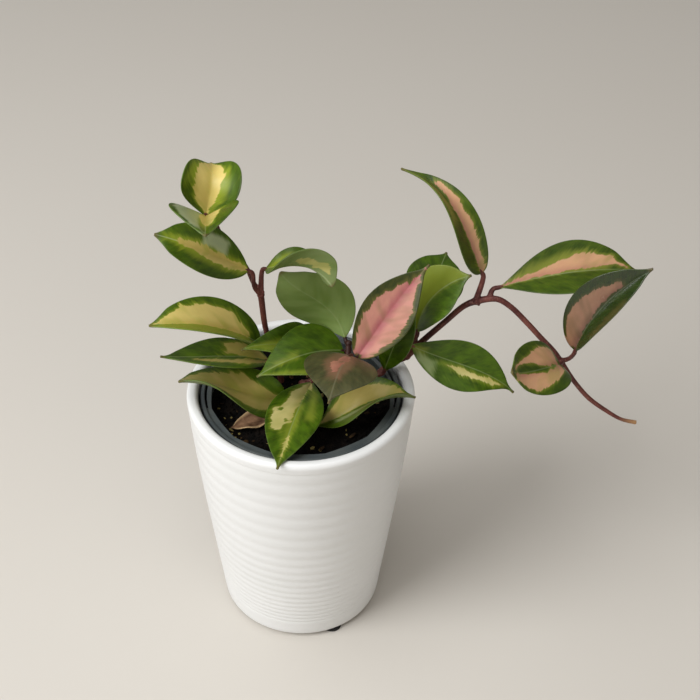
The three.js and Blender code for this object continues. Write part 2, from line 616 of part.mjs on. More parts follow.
// Materials, one for each kind of surface.
const material = (color, roughness) => new THREE.MeshStandardMaterial({ color, roughness, metalness: 0 });
const glazed = material('#f2f2ee', 0.35);
const darkPlastic = material('#4a504f', 0.5);
const soilBrown = material('#17120d', 0.95);
const padBlack = material('#1c1b1b', 0.9);
const stemPurple = material('#64413f', 0.5);
const stemDark = material('#3c2320', 0.6);
const dryBrown = material('#7a5a3c', 0.8);
const leafCream = material('#7d8a45', 0.35);
const leafGreen = material('#456f2f', 0.35);
const leafPink = material('#a97a6c', 0.35);
const LEAF_COLOURS = {
  leaf_fore_dark: leafGreen, leaf_vine_low: leafGreen, leaf_back_pale: leafGreen,
  leaf_vine_behind: leafGreen, leaf_vine_inner: leafGreen, leaf_pink: leafPink, leaf_grey: leafPink,
  leaf_vine_arch: leafPink, leaf_vine_right: leafPink, leaf_vine_gloss: leafPink,
  leaf_vine_round: leafPink,
};

function named(name, geometry, look) {
  const mesh = new THREE.Mesh(geometry, look);
  mesh.name = name;
  return mesh;
}

const plant = new THREE.Group();
for (const [name, degrees] of Object.entries(PAD_ANGLES)) {
  plant.add(named(name, padGeometry(degrees), padBlack));
}
const standing = new THREE.Group();
standing.position.z = PAD_THICK;
plant.add(standing);
standing.add(named('cover_pot', coverPotGeometry(), glazed));
standing.add(named('nursery_pot', nurseryPotGeometry(), darkPlastic));
standing.add(named('soil', soilGeometry(), soilBrown));
standing.add(named('stem_left', leftStemGeometry(), stemPurple));
standing.add(named('stem_middle', middleStemGeometry(), stemDark));
standing.add(named('stem_low', lowStemGeometry(), stemPurple));
standing.add(named('vine', vineGeometry(), stemPurple));
for (const [name, { points, radii }] of Object.entries(STUBS)) {
  standing.add(named(name, tube(points, radii), dryBrown));
}
standing.add(named('dry_leaf', bladeGeometry(DRY_LEAF), dryBrown));
for (const [name, leaf] of Object.entries(LEAVES)) {
  standing.add(named(name, bladeGeometry(leaf), LEAF_COLOURS[name] ?? leafCream));
}

export default plant;
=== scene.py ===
"""Potted wax plant: its looks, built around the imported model.

Lengths are millimetres until a mesh is made, and heights are above the cover pot's underside,
which stands on three thin pads.
"""
import math

import bpy
import numpy as np
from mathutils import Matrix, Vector, noise


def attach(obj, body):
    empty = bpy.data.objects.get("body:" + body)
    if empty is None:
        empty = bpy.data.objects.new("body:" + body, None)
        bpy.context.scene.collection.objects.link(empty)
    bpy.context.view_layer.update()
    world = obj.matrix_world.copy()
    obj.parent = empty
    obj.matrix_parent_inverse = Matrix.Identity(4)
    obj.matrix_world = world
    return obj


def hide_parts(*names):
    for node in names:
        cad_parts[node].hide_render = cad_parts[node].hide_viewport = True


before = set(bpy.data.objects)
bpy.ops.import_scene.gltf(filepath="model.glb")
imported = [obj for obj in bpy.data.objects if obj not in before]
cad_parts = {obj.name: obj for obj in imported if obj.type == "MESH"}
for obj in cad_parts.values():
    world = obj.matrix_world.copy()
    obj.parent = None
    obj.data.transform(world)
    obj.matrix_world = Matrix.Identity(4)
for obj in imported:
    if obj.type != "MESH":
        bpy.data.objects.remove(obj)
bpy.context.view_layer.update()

MM = 0.001
PAD_THICK = 1.2

# Camera and stage
PITCH_DOWN = 39.63
CAMERA_PLACE = (0.0053, -0.5553, 0.6320)
LENS_LENGTH, SENSOR_WIDTH = 72, 36
LENS_SHIFT = (0.056, 0.0054)
camera = bpy.data.objects.new("camera", bpy.data.cameras.new("camera"))
camera.data.lens = LENS_LENGTH
camera.data.sensor_width = SENSOR_WIDTH
camera.data.shift_x, camera.data.shift_y = LENS_SHIFT
camera.data.clip_end = 20
camera.location = CAMERA_PLACE
camera.rotation_euler = (math.radians(90 - PITCH_DOWN), 0, 0)
bpy.context.scene.collection.objects.link(camera)
bpy.context.scene.camera = camera
bpy.context.scene.view_settings.view_transform = "Standard"


def linear(hex_colour):
    """A colour as the shader wants it, from its sRGB hex value."""
    parts = [int(hex_colour[k:k + 2], 16) / 255 for k in (1, 3, 5)]
    return [p / 12.92 if p <= 0.04045 else ((p + 0.055) / 1.055) ** 2.4 for p in parts] + [1.0]


def add_node(tree, kind, inputs=None, **settings):
    """Adds one node. Settings are its own properties; inputs are values, or sockets to link."""
    made = tree.nodes.new(kind)
    for key, value in settings.items():
        setattr(made, key, value)
    for key, value in (inputs or {}).items():
        if isinstance(value, bpy.types.NodeSocket):
            tree.links.new(value, made.inputs[key])
        else:
            made.inputs[key].default_value = value
    return made


def start_material(name, constants):
    """A material with its principled shader, whose constants are set on its own sockets."""
    material = bpy.data.materials.new(name)
    material.use_nodes = True
    tree = material.node_tree
    shader = tree.nodes["Principled BSDF"]
    for key, value in constants.items():
        shader.inputs[key].default_value = value
    return material, tree, shader


def layered(tree, colour, *layers):
    """A colour with others laid over it, each given as how much of it shows and its colour."""
    for amount, over in layers:
        under, over = (linear(c) if isinstance(c, str) else c for c in (colour, over))
        laid = add_node(tree, "ShaderNodeMix", {0: amount, 6: under, 7: over}, data_type="RGBA")
        colour = laid.outputs[2]
    return colour


def stirred(tree, value, *terms):
    """A value with noises added to it, each given as the noise and how far it carries."""
    for noise_value, reach in terms:
        centred = add_node(tree, "ShaderNodeMath", {0: noise_value, 1: 0.5}, operation="SUBTRACT")
        added = add_node(tree, "ShaderNodeMath", {0: centred.outputs[0], 1: reach, 2: value},
                         operation="MULTIPLY_ADD")
        value = added.outputs[0]
    return value


def noise_of_size(tree, place, sizes, detail, **more):
    """Noise whose lumps have the given sizes, in the unit that the place is measured in."""
    scale = [1 / size for size in sizes]
    placed = add_node(tree, "ShaderNodeMapping", {"Vector": place, "Scale": scale})
    return add_node(tree, "ShaderNodeTexNoise", {"Vector": placed.outputs[0], "Scale": 1.0,
                                                 "Detail": detail, **more}).outputs["Fac"]


def noise_on_object(tree, sizes_mm, detail):
    """Noise fixed to the object, with the sizes of its lumps in millimetres."""
    where = add_node(tree, "ShaderNodeTexCoord").outputs["Object"]
    return noise_of_size(tree, where, [size * MM for size in sizes_mm], detail)


def dress(tree, shader, colour, rough, height, strength, depth_mm):
    """Gives a shader its colour, its roughness and a fine relief."""
    tree.links.new(colour, shader.inputs["Base Color"])
    if rough:
        tree.links.new(rough, shader.inputs["Roughness"])
    bump = add_node(tree, "ShaderNodeBump", {
        "Strength": strength, "Distance": depth_mm * MM, "Height": height})
    tree.links.new(bump.outputs[0], shader.inputs["Normal"])


def two_toned(name, constants, base, over, spread, patch, grain, relief, rough=None):
    """A surface with patches of a second colour and a fine grain.

    Patch and grain are each the sizes of the noise's lumps in millimetres and its detail.
    The second colour comes in over the spread of the patch noise, and relief is the
    grain's strength and its depth in millimetres.
    """
    material, tree, shader = start_material(name, constants)
    patches = noise_on_object(tree, *patch)
    shown = add_node(tree, "ShaderNodeMapRange", {0: patches, 1: spread[0], 2: spread[1]}).outputs[0]
    if rough:
        low, high = rough
        rough = add_node(tree, "ShaderNodeMapRange", {
            0: patches, 1: 0.3, 2: 0.7, 3: low, 4: high}).outputs[0]
    colour = layered(tree, base, (shown, over))
    dress(tree, shader, colour, rough, noise_on_object(tree, *grain), *relief)
    return material


# Leaf blades: the same midrib, width and fold as in the part's source.
LEAF_DEFAULTS = dict(widest=0.45, taper=(0.75, 1), arch=(0, 0), side=(0, 0), fold=(12, 12), cup=0,
                     twist=(0, 0), wave=(0, 2, 0), mid=1.3, edge=0.7)
NECK_HALF = 0.9
TIP_HALF = 0.35
TIP_FROM = 0.84
TIP_DRAW = 0.4
LEAVES = {
    "leaf_top_back": dict(
        base=(-44, -3.8, 258), tip=(-42, 13.2, 277), face=(0.1, -0.98, 0.3), width=34, widest=0.6,
        taper=(0.68, 0.89), arch=(2.5, 18.3), side=(-0.4, 1.3), fold=(21, 21), cup=30, twist=(-16, 5)),
    "leaf_top_front": dict(
        base=(-44, -8.6, 261.8), tip=(-42, -38.5, 271.5), face=(0.03, 0.05, 1), width=39.5, widest=0.5,
        taper=(0.6, 0.8), fold=(52, 46), cup=-26),
    "leaf_upper_left": dict(
        base=(-26, 4, 221), tip=(-69, -8, 251), face=(0.28, -0.62, 0.68), width=26.3, widest=0.5,
        taper=(0.63, 0.71), arch=(1, 8.4), side=(0.4, 0), fold=(18, 13), twist=(9, 0)),
    "leaf_arching": dict(
        base=(-17, 8, 219), tip=(16, -8, 220), face=(0, 0.1, 1.04), width=28.2, widest=0.59,
        taper=(0.59, 0.5), arch=(7.5, 14.2), side=(4.8, -1.8), fold=(47, 16), twist=(41, -108)),
    "leaf_left_high": dict(
        base=(-21.6, 13, 166), tip=(-76, -5.4, 193.5), face=(-0.02, -0.14, 1), width=31.2, widest=0.5,
        taper=(0.5, 0.68), arch=(9.4, 9), side=(2.5, -1.6), fold=(34, 37), twist=(-14, 5)),
    "leaf_left_middle": dict(
        base=(-17, 6, 161), tip=(-71, -9, 176.5), face=(-0.27, -0.1, 1), width=25.9, widest=0.46,
        taper=(0.7, 1.13), arch=(5.1, -1.5), side=(-0.1, -0.6), fold=(27, 1), twist=(-23, 5)),
    "leaf_left_low": dict(
        base=(-8, -3.6, 143.3), tip=(-62, -15.6, 165.3), face=(-0.14, -0.25, 0.96), width=31.1,
        taper=(0.42, 0.5), arch=(-2.9, 2.8), side=(-3.6, 4.1), fold=(16, 14), twist=(-31, 53)),
    "leaf_fore_small": dict(
        base=(9, 16, 163), tip=(-30, -5.2, 177.7), face=(-0.22, -0.35, 1.01), width=28, widest=0.3,
        taper=(1.12, 1.18), arch=(3.1, 4.2), side=(-3.4, 2.3), fold=(13, 48), twist=(13, 0)),
    "leaf_fore_dark": dict(
        base=(22, 4.6, 169.1), tip=(-22, -17.4, 170.1), face=(-0.3, -0.27, 0.97), width=33.2,
        widest=0.34, taper=(0.78, 1.07), arch=(6.7, 8.4), side=(1.1, -1.6), fold=(17, 6), twist=(-21, -9)),
    "leaf_front": dict(
        base=(6, 4, 148), tip=(-11.1, -62.5, 149.4), face=(0, -0.19, 0.96), width=29.6, widest=0.47,
        taper=(0.99, 1.16), arch=(3.8, -1.8), side=(1.4, 1.6), fold=(19, 14), twist=(-6, 3)),
    "leaf_grey": dict(
        base=(25, -11, 178.2), tip=(14, -49, 180.2), face=(0.01, -0.4, 0.87), width=37.2, widest=0.4,
        taper=(0.5, 1.48), arch=(5.7, 4.7), side=(1.6, 1.3), fold=(4, -4), twist=(0, 4)),
    "leaf_right_low": dict(
        base=(8, -23, 142.2), tip=(59, -16, 155), face=(0.21, -0.31, 1.11), width=31.6, widest=0.5,
        taper=(1.08, 0.78), arch=(-0.8, 11.9), side=(0.9, -4.7), fold=(47, 34), twist=(10, -47)),
    "leaf_pink": dict(
        base=(29, -4, 172), tip=(64, 6, 223), face=(-0.23, -0.75, 0.54), width=28.4, widest=0.46,
        taper=(0.63, 1.35), arch=(-1, -0.4), side=(-0.4, -3.1), fold=(18, 19), twist=(8, 2)),
    "leaf_back_pale": dict(
        base=(23, 9, 174.6), tip=(-10, 13, 213.6), face=(0.03, 1.16, -0.34), width=35.3, widest=0.49,
        taper=(0.81, 0.6), arch=(11.4, -3.4), side=(-8.4, 1.4), fold=(-5, 9), twist=(-8, -10)),
    "leaf_vine_near": dict(
        base=(61, 14, 175), tip=(86, 12, 212), face=(-0.06, -0.64, 0.55), width=29.7, widest=0.51,
        taper=(0.74, 0.99), arch=(6.2, -1), side=(-7.8, -8.5), fold=(14, 17), twist=(-28, -19)),
    "leaf_vine_behind": dict(
        base=(60, 20.5, 167), tip=(77, 49, 199.5), face=(0, -0.6, 0.8), width=31, widest=0.62,
        taper=(1.6, 1), arch=(10, 20), fold=(10, 10)),
    "leaf_vine_inner": dict(
        base=(44.5, 10.5, 151.5), tip=(58, 10, 198.5), face=(0, -0.5, 0.85), width=19, widest=0.5,
        arch=(3, 3), fold=(20, 20)),
    "leaf_vine_low": dict(
        base=(58, 9, 169), tip=(112, 0, 144.5), face=(0, -0.43, 0.82), width=28.2, widest=0.46,
        taper=(0.83, 1.41), arch=(-0.4, 7.5), side=(0.4, -3.7), fold=(36, 4), twist=(27, 1)),
    "leaf_vine_arch": dict(
        base=(91, 12, 214), tip=(50, 34, 261), face=(0.42, -0.6, 0.57), width=20.6, widest=0.4,
        taper=(0.62, 0.85), arch=(14.3, 28.4), side=(-4.7, 2.6), fold=(35, 46), twist=(-30, 34)),
    "leaf_vine_right": dict(
        base=(101, 15.4, 202), tip=(170, 17.6, 211), face=(-0.08, -0.42, 0.84), width=33.1, widest=0.55,
        taper=(0.99, 0.77), arch=(6.1, 8.9), side=(-0.8, -0.5), fold=(27, 27), twist=(8, -6)),
    "leaf_vine_gloss": dict(
        base=(141, -1.2, 174.6), tip=(170, -10.4, 232.6), face=(0.03, -0.73, 0.48), width=32.4,
        widest=0.5, taper=(0.58, 0.89), arch=(2.8, -0.6), side=(-7.5, -7.1), fold=(9, 70), twist=(-10, 7)),
    "leaf_vine_round": dict(
        base=(134, -0.5, 164), tip=(105, -26.5, 181), face=(0.38, -0.5, 0.9), width=30.5, widest=0.44,
        taper=(0.46, 0.53), arch=(5.5, -6.5), side=(-1.6, -1.4), fold=(15, 10), twist=(10, -9)),
}
DRY_LEAF = dict(base=(-14.5, -15, 139.8), tip=(-36, -22, 139.4), face=(0, -0.2, 1), width=15,
                widest=0.5, arch=(0.8, -0.6), fold=(30, 34), cup=20, wave=(1.2, 1.5, 0.2), mid=0.8,
                edge=0.6)


def unit(v):
    v = np.asarray(v, float)
    return v / np.linalg.norm(v, axis=-1, keepdims=True)


def midrib(leaf):
    """The four control points of a leaf's midrib, and the way its upper face looks."""
    base, tip = np.array(leaf["base"], float), np.array(leaf["tip"], float)
    length = np.linalg.norm(tip - base)
    along = (tip - base) / length
    face = np.array(leaf["face"], float)
    face = unit(face - face.dot(along) * along)
    right = np.cross(along, face)
    bends = [base + along * length * (k + 1) / 3 + face * leaf["arch"][k] + right * leaf["side"][k]
             for k in (0, 1)]
    return [base, *bends, tip], face


def midrib_frame(leaf, t):
    """Points, tangents, upward and rightward directions along a midrib, for each t."""
    (p0, p1, p2, p3), face = midrib(leaf)
    t = np.asarray(t, float)[:, None]
    point = (1 - t) ** 3 * p0 + 3 * (1 - t) ** 2 * t * p1 + 3 * (1 - t) * t ** 2 * p2 + t ** 3 * p3
    along = unit((1 - t) ** 2 * (p1 - p0) + 2 * (1 - t) * t * (p2 - p1) + t ** 2 * (p3 - p2))
    up = unit(face - (along @ face)[:, None] * along)
    turn = np.radians(leaf["twist"][0] + (leaf["twist"][1] - leaf["twist"][0]) * t)
    up = up * np.cos(turn) + np.cross(along, up) * np.sin(turn)
    return point, along, up, np.cross(along, up)


def half_width(leaf, t):
    power = math.log(0.5) / math.log(leaf["widest"])
    blunt = leaf["taper"][0] + (leaf["taper"][1] - leaf["taper"][0]) * t
    swell = np.maximum(0, np.sin(math.pi * t ** power)) ** blunt
    drawn_out = np.clip((t - TIP_FROM) / (1 - TIP_FROM), 0, 1)
    swell = swell * (1 - TIP_DRAW * drawn_out * drawn_out * (3 - 2 * drawn_out))
    return np.maximum(leaf["width"] / 2 * swell, NECK_HALF + (TIP_HALF - NECK_HALF) * t)


def wander(x, y, seed):
    """A smooth random height for each pair of coordinates, from -1 to 1."""
    flat = [noise.noise(Vector((a, b, seed))) for a, b in zip(np.ravel(x), np.ravel(y))]
    return np.reshape(flat, np.shape(x))


ROWS = 84
HALF_COLUMNS = 20
ROW_CROWDING = 0.09
COLUMN_CROWDING = 1.15
CREASE_ROUND = 1.6
PUCKER_LONG, PUCKER_WIDE = 11, 8
RIB_HALF = 0.75
RIB_SUNK, RIB_RAISED = 0.16, 0.45
EDGE_TURNS = (30, 60, 90, 120, 150)
VEIN_SLANT = 0.9


def blade_grid(given, seed, pucker=0.3):
    """The middle surface of a blade, its normals, and each point's place on the leaf."""
    leaf = {**LEAF_DEFAULTS, **given}
    even = np.linspace(0, 1, ROWS + 1)
    t = even - ROW_CROWDING * np.sin(2 * math.pi * even)
    point, along, up, right = midrib_frame(leaf, t)
    width = half_width(leaf, t)[:, None]
    steps = np.linspace(-1, 1, 2 * HALF_COLUMNS + 1)
    spread = np.sign(steps) * (1 - (1 - np.abs(steps)) ** COLUMN_CROWDING)
    u = spread[None, :] * (1 - np.minimum(0.35, 0.45 * leaf["edge"] / width))
    reach = np.abs(u)
    fold = np.radians(np.where(u < 0, leaf["fold"][0], leaf["fold"][1]))
    angle = fold + math.radians(leaf["cup"]) * reach / 2
    crease = np.abs(np.sin(angle)) / np.cos(angle) ** 2 * CREASE_ROUND / width
    crease = np.clip(crease, 0.02, 0.8)
    rise = np.sqrt(reach ** 2 + crease ** 2) - crease
    height, waves, phase = leaf["wave"]
    turns = waves * t[:, None] + phase + np.where(u > 0, 0.5, 0)
    wave = height * reach ** 2 * np.sin(2 * math.pi * turns) * np.sin(math.pi * t)[:, None]
    length = np.linalg.norm(np.diff(point, axis=0), axis=1).sum()
    across = width * u
    ripple = wander(t[:, None] * length / PUCKER_LONG + across * 0, across / PUCKER_WIDE, seed * 7.3)
    wave = wave + pucker * ripple * np.minimum(1, width / 6) * (1 - 0.6 * reach)
    middle = (point[:, None] + right[:, None] * (width * u * np.cos(angle))[..., None]
              + up[:, None] * (width * rise * np.sin(angle) + wave)[..., None])
    normal = unit(np.cross(np.gradient(middle, axis=1), np.gradient(middle, axis=0)))
    normal[[0, -1]] = unit(up[[0, -1]])[:, None]
    place = dict(t=np.broadcast_to(t[:, None], across.shape), u=u, across=across, width=width,
                 length=length)
    return leaf, middle, normal, place


def marking_field(place, zones):
    """Millimetres inside the nearest of the zones: negative outside all of them."""
    inside = np.full(place["t"].shape, -9.0)
    for start, end, left, right in zones:
        t = place["t"]
        at = np.clip((t - start) / (end - start), 0, 1)
        low = np.interp(at, np.linspace(0, 1, len(left)), left)
        high = np.interp(at, np.linspace(0, 1, len(right)), right)
        side = np.minimum(place["u"] - low, high - place["u"]) * place["width"]
        ends = np.minimum(t - start + (start <= 0), end - t + (end >= 1)) * place["length"] * 0.6
        inside = np.maximum(inside, np.minimum(side, ends))
    return np.maximum(inside, -9)


def make_piece(name, points, faces, material, replaced):
    """A mesh object from millimetre points. It rides on the only body."""
    mesh = bpy.data.meshes.new(name)
    lifted = (np.asarray(points, float) + (0, 0, PAD_THICK)) * MM
    mesh.from_pydata(lifted.tolist(), [], [tuple(int(k) for k in f) for f in faces])
    mesh.materials.append(material)
    mesh.polygons.foreach_set("use_smooth", [True] * len(mesh.polygons))
    piece = bpy.data.objects.new(name, mesh)
    bpy.context.scene.collection.objects.link(piece)
    declare(piece, replaced)
    return piece


def declare(piece, replaced):
    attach(piece, "root")
    if replaced:
        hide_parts(*replaced)


def ring_faces(rings, sides):
    """Quads between successive closed rings of points, and a fan on each end's middle point."""
    k = np.arange(sides)
    n = (k + 1) % sides
    faces = [np.stack([r * sides + k, r * sides + n, (r + 1) * sides + n, (r + 1) * sides + k], 1)
             for r in range(rings - 1)]
    faces = np.concatenate(faces).tolist()
    first, last = rings * sides, rings * sides + 1
    faces += [(first, int(b), int(a)) for a, b in zip(k, n)]
    end = (rings - 1) * sides
    faces += [(last, int(end + a), int(end + b)) for a, b in zip(k, n)]
    return faces


def make_blade(name, given, zones, seed, material, pucker=0.3):
    leaf, middle, normal, place = blade_grid(given, seed, pucker)
    rows, columns = place["t"].shape
    reach = np.abs(place["u"])
    half = (leaf["mid"] + (leaf["edge"] - leaf["mid"]) * reach ** 2) / 2
    rib = np.exp(-(place["across"] / RIB_HALF) ** 2) * (1 - place["t"])
    top = middle + normal * (half - RIB_SUNK * rib)[..., None]
    under = middle - normal * (half + RIB_RAISED * rib)[..., None]
    caps = []
    for column, out in ((-1, 1), (0, -1)):
        edge = middle[:, column]
        sideways = unit(middle[:, column] - middle[:, column - out])
        thick = half[:, column][:, None]
        turns = EDGE_TURNS if out > 0 else EDGE_TURNS[::-1]
        caps.append([edge + thick * (normal[:, column] * math.cos(math.radians(a))
                                     + sideways * math.sin(math.radians(a))) for a in turns])
    right_cap, left_cap = (np.stack(c, 1) for c in caps)
    ring = np.concatenate([top, right_cap, under[:, ::-1], left_cap], axis=1)
    ends = [ring[0].mean(0), ring[-1].mean(0)]
    points = np.concatenate([ring.reshape(-1, 3), ends])
    sides = ring.shape[1]
    faces = ring_faces(rows, sides)
    piece = make_piece(name + "_blade", points, faces, material, [name])

    def around_blade(over, right_edge, under, left_edge):
        whole = np.concatenate([over, right_edge, under, left_edge], axis=1)
        return np.concatenate([whole.ravel(), [whole[0].mean(), whole[-1].mean()]])

    def spread(values):
        edges = [np.repeat(values[:, [column]], len(EDGE_TURNS), 1) for column in (-1, 0)]
        return around_blade(values, edges[0], values[:, ::-1], edges[1])

    t, u, across = (spread(place[k]) for k in ("t", "u", "across"))
    falling = np.broadcast_to(np.linspace(1, 0, len(EDGE_TURNS)), (rows, len(EDGE_TURNS)))
    level = around_blade(np.ones((rows, columns)), falling, np.zeros((rows, columns)), falling[:, ::-1])
    flow = t * place["length"] - VEIN_SLANT * np.abs(across)
    fields = [spread(marking_field(place, zones.get(kind, []))) for kind in ("pale", "light", "silver")]
    attributes = {
        "marking": fields,
        "flow": [flow, across, np.full(t.shape, seed * 13.7)],
        "blade": [t, np.abs(u), level],
    }
    for key, columns_of in attributes.items():
        layer = piece.data.attributes.new(key, "FLOAT_VECTOR", "POINT")
        layer.data.foreach_set("vector", np.stack(columns_of, 1).astype(np.float32).ravel())


# Leaf surfaces: thick and waxy. What gives it to the eye is a broad soft gloss over a
# smooth skin, a pale feathered middle inside a green margin, and a duller, paler underside.
TIP_BROWN = "#5A4A22"
LOBE_MM, STREAK_MM, THREAD_MM = (7.7, 14.3, 1), (2.38, 10, 1), (0.588, 7.7, 1)
CLOUD_MM, GRAIN_MM = (6.25, 5, 1), (0.3125, 0.385, 1)


def leaf_material(name, dark, mid, light, pale, deep, silver, under, gloss=0.36, shine=0.3):
    material, tree, shader = start_material(name, {
        "IOR": 1.45, "Specular IOR Level": shine, "Coat Weight": 0.05, "Coat Roughness": 0.2,
        "Subsurface Weight": 0.05, "Subsurface Scale": 0.0012,
    })
    marking, flow, blade = (add_node(tree, "ShaderNodeAttribute", attribute_name=key).outputs["Vector"]
                            for key in ("marking", "flow", "blade"))
    pale_mm, light_mm, silver_mm = add_node(tree, "ShaderNodeSeparateXYZ", {0: marking}).outputs
    _, across, _ = add_node(tree, "ShaderNodeSeparateXYZ", {0: flow}).outputs
    along, _, level = add_node(tree, "ShaderNodeSeparateXYZ", {0: blade}).outputs
    off_midrib = add_node(tree, "ShaderNodeMath", {0: across}, operation="ABSOLUTE").outputs[0]

    # Noise in streaks that run from the midrib outwards, as the side veins do.
    lobes, streak, thread, cloud, grain = (
        noise_of_size(tree, flow, sizes, detail, Roughness=0.6)
        for sizes, detail in ((LOBE_MM, 1), (STREAK_MM, 2), (THREAD_MM, 3), (CLOUD_MM, 2), (GRAIN_MM, 2)))

    def mask(field, low, high, jag, most=1.0):
        """Where a marking is, with an edge of lobes, streaks and threads of uneven length."""
        teeth = add_node(tree, "ShaderNodeMapRange", {0: lobes, 1: 0.4, 2: 0.62, 3: 0.15 * 1.5 * jag,
                                                      4: 1.5 * jag}).outputs[0]
        edge = stirred(tree, field, (streak, teeth), (lobes, jag), (thread, jag * 0.35))
        return add_node(tree, "ShaderNodeMapRange", {0: edge, 1: low, 2: high, 4: most},
                        interpolation_type="SMOOTHSTEP").outputs[0]

    pale_mask = mask(pale_mm, -0.3, 0.35, 4.0)
    patchy = add_node(tree, "ShaderNodeMapRange", {0: cloud, 1: 0.35, 2: 0.65}).outputs[0]
    vein = add_node(tree, "ShaderNodeMapRange", {0: thread, 1: 0.55, 2: 0.75, 4: 0.22}).outputs[0]
    green = layered(
        tree, dark, (patchy, mid), (vein, light), (mask(pale_mm, -2.2, 0.0, 4.8, 0.55), light),
        (mask(light_mm, -2.4, 2.2, 3.4, 0.75), light), (mask(silver_mm, -1.4, 1.2, 3.0, 0.75), silver))
    near_midrib = add_node(tree, "ShaderNodeMapRange", {0: off_midrib, 1: 0.4, 2: 5.0, 3: 0.9, 4: 0.15},
                           interpolation_type="SMOOTHSTEP").outputs[0]
    blush = stirred(tree, near_midrib, (cloud, 0.7), (grain, 0.3))
    blush = add_node(tree, "ShaderNodeMapRange", {0: blush, 1: 0.0, 2: 1.0}).outputs[0]
    tinge = add_node(tree, "ShaderNodeMapRange", {0: lobes, 1: 0.5, 2: 0.68, 4: 0.4}).outputs[0]
    flesh = layered(tree, pale, (blush, deep), (tinge, light))
    fleck = add_node(tree, "ShaderNodeMapRange", {0: grain, 1: 0.7, 2: 0.78, 4: 0.35}).outputs[0]
    rib_line = add_node(tree, "ShaderNodeMapRange", {0: off_midrib, 1: 0.12, 2: 0.6, 3: 0.38, 4: 0.0},
                        interpolation_type="SMOOTHSTEP").outputs[0]
    upper = layered(tree, green, (pale_mask, flesh), (fleck, silver),
                    (rib_line, layered(tree, silver, (pale_mask, deep))))
    shade = add_node(tree, "ShaderNodeMapRange", {0: lobes, 1: 0.4, 2: 0.65, 4: 0.4}).outputs[0]
    half_pale, faint_fleck, faint_vein, faint_rib = (
        add_node(tree, "ShaderNodeMath", {0: whole, 1: share}, operation="MULTIPLY").outputs[0]
        for whole, share in ((pale_mask, 0.5), (fleck, 0.8), (vein, 0.8), (rib_line, 0.8)))
    lower = layered(tree, under, (half_pale, pale), (faint_fleck, silver), (shade, mid),
                    (faint_vein, light), (faint_rib, silver))
    dried = add_node(tree, "ShaderNodeMapRange", {0: along, 1: 0.955, 2: 0.99, 4: 0.7}).outputs[0]
    colour = layered(tree, lower, (level, upper), (dried, TIP_BROWN))
    dull = add_node(tree, "ShaderNodeMapRange", {0: cloud, 1: 0.3, 2: 0.7, 3: gloss + 0.11,
                                                 4: gloss + 0.24}).outputs[0]
    rough = add_node(tree, "ShaderNodeMath", {0: level, 1: -0.16, 2: dull}, operation="MULTIPLY_ADD")
    relief = add_node(tree, "ShaderNodeMath", {0: thread, 1: 0.6, 2: grain}, operation="MULTIPLY_ADD")
    dress(tree, shader, colour, rough.outputs[0], relief.outputs[0], 0.35, 0.2)
    return material


LEAF_LOOKS = {
    "cream": dict(
        dark="#334A06", mid="#4A640A", light="#8C9A28", pale="#D6C274",
        deep="#BBA858", silver="#B0BA92", under="#748450"),
    # The cream look with darker pale, deep, light, silver and underside colours: painted shade for leaves
    # that lie partly in shadow.
    "cream_in_painted_shade": dict(
        dark="#334A06", mid="#4A640A", light="#7C862A", pale="#AD9C56",
        deep="#928642", silver="#8A9568", under="#66743C"),
    "pinkish": dict(
        dark="#2D4206", mid="#43580A", light="#7E8430", pale="#CB9F78",
        deep="#B07A66", silver="#7F8A5E", under="#5E6C34"),
    "rose": dict(
        dark="#2E3818", mid="#44481F", light="#6F6833", pale="#C68D7C",
        deep="#A45C60", silver="#7C7F5C", under="#5A6630"),
    "green": dict(
        dark="#314806", mid="#48640A", light="#828E2C", pale="#CBBF80",
        deep="#B4AA62", silver="#8C9A68", under="#74884A"),
    "olive": dict(
        dark="#3A3C22", mid="#4C4C2C", light="#7A5A44", pale="#B47C68",
        deep="#986252", silver="#77735A", under="#565C36"),
    "glossy": dict(
        dark="#1D2E0A", mid="#283A0C", light="#4A4420", pale="#9A735A",
        deep="#785042", silver="#66705A", under="#525E30", gloss=0.2, shine=0.7),
}
LEAF_SKINS = {look: leaf_material("waxy_leaf_" + look, **colours)
              for look, colours in LEAF_LOOKS.items()}

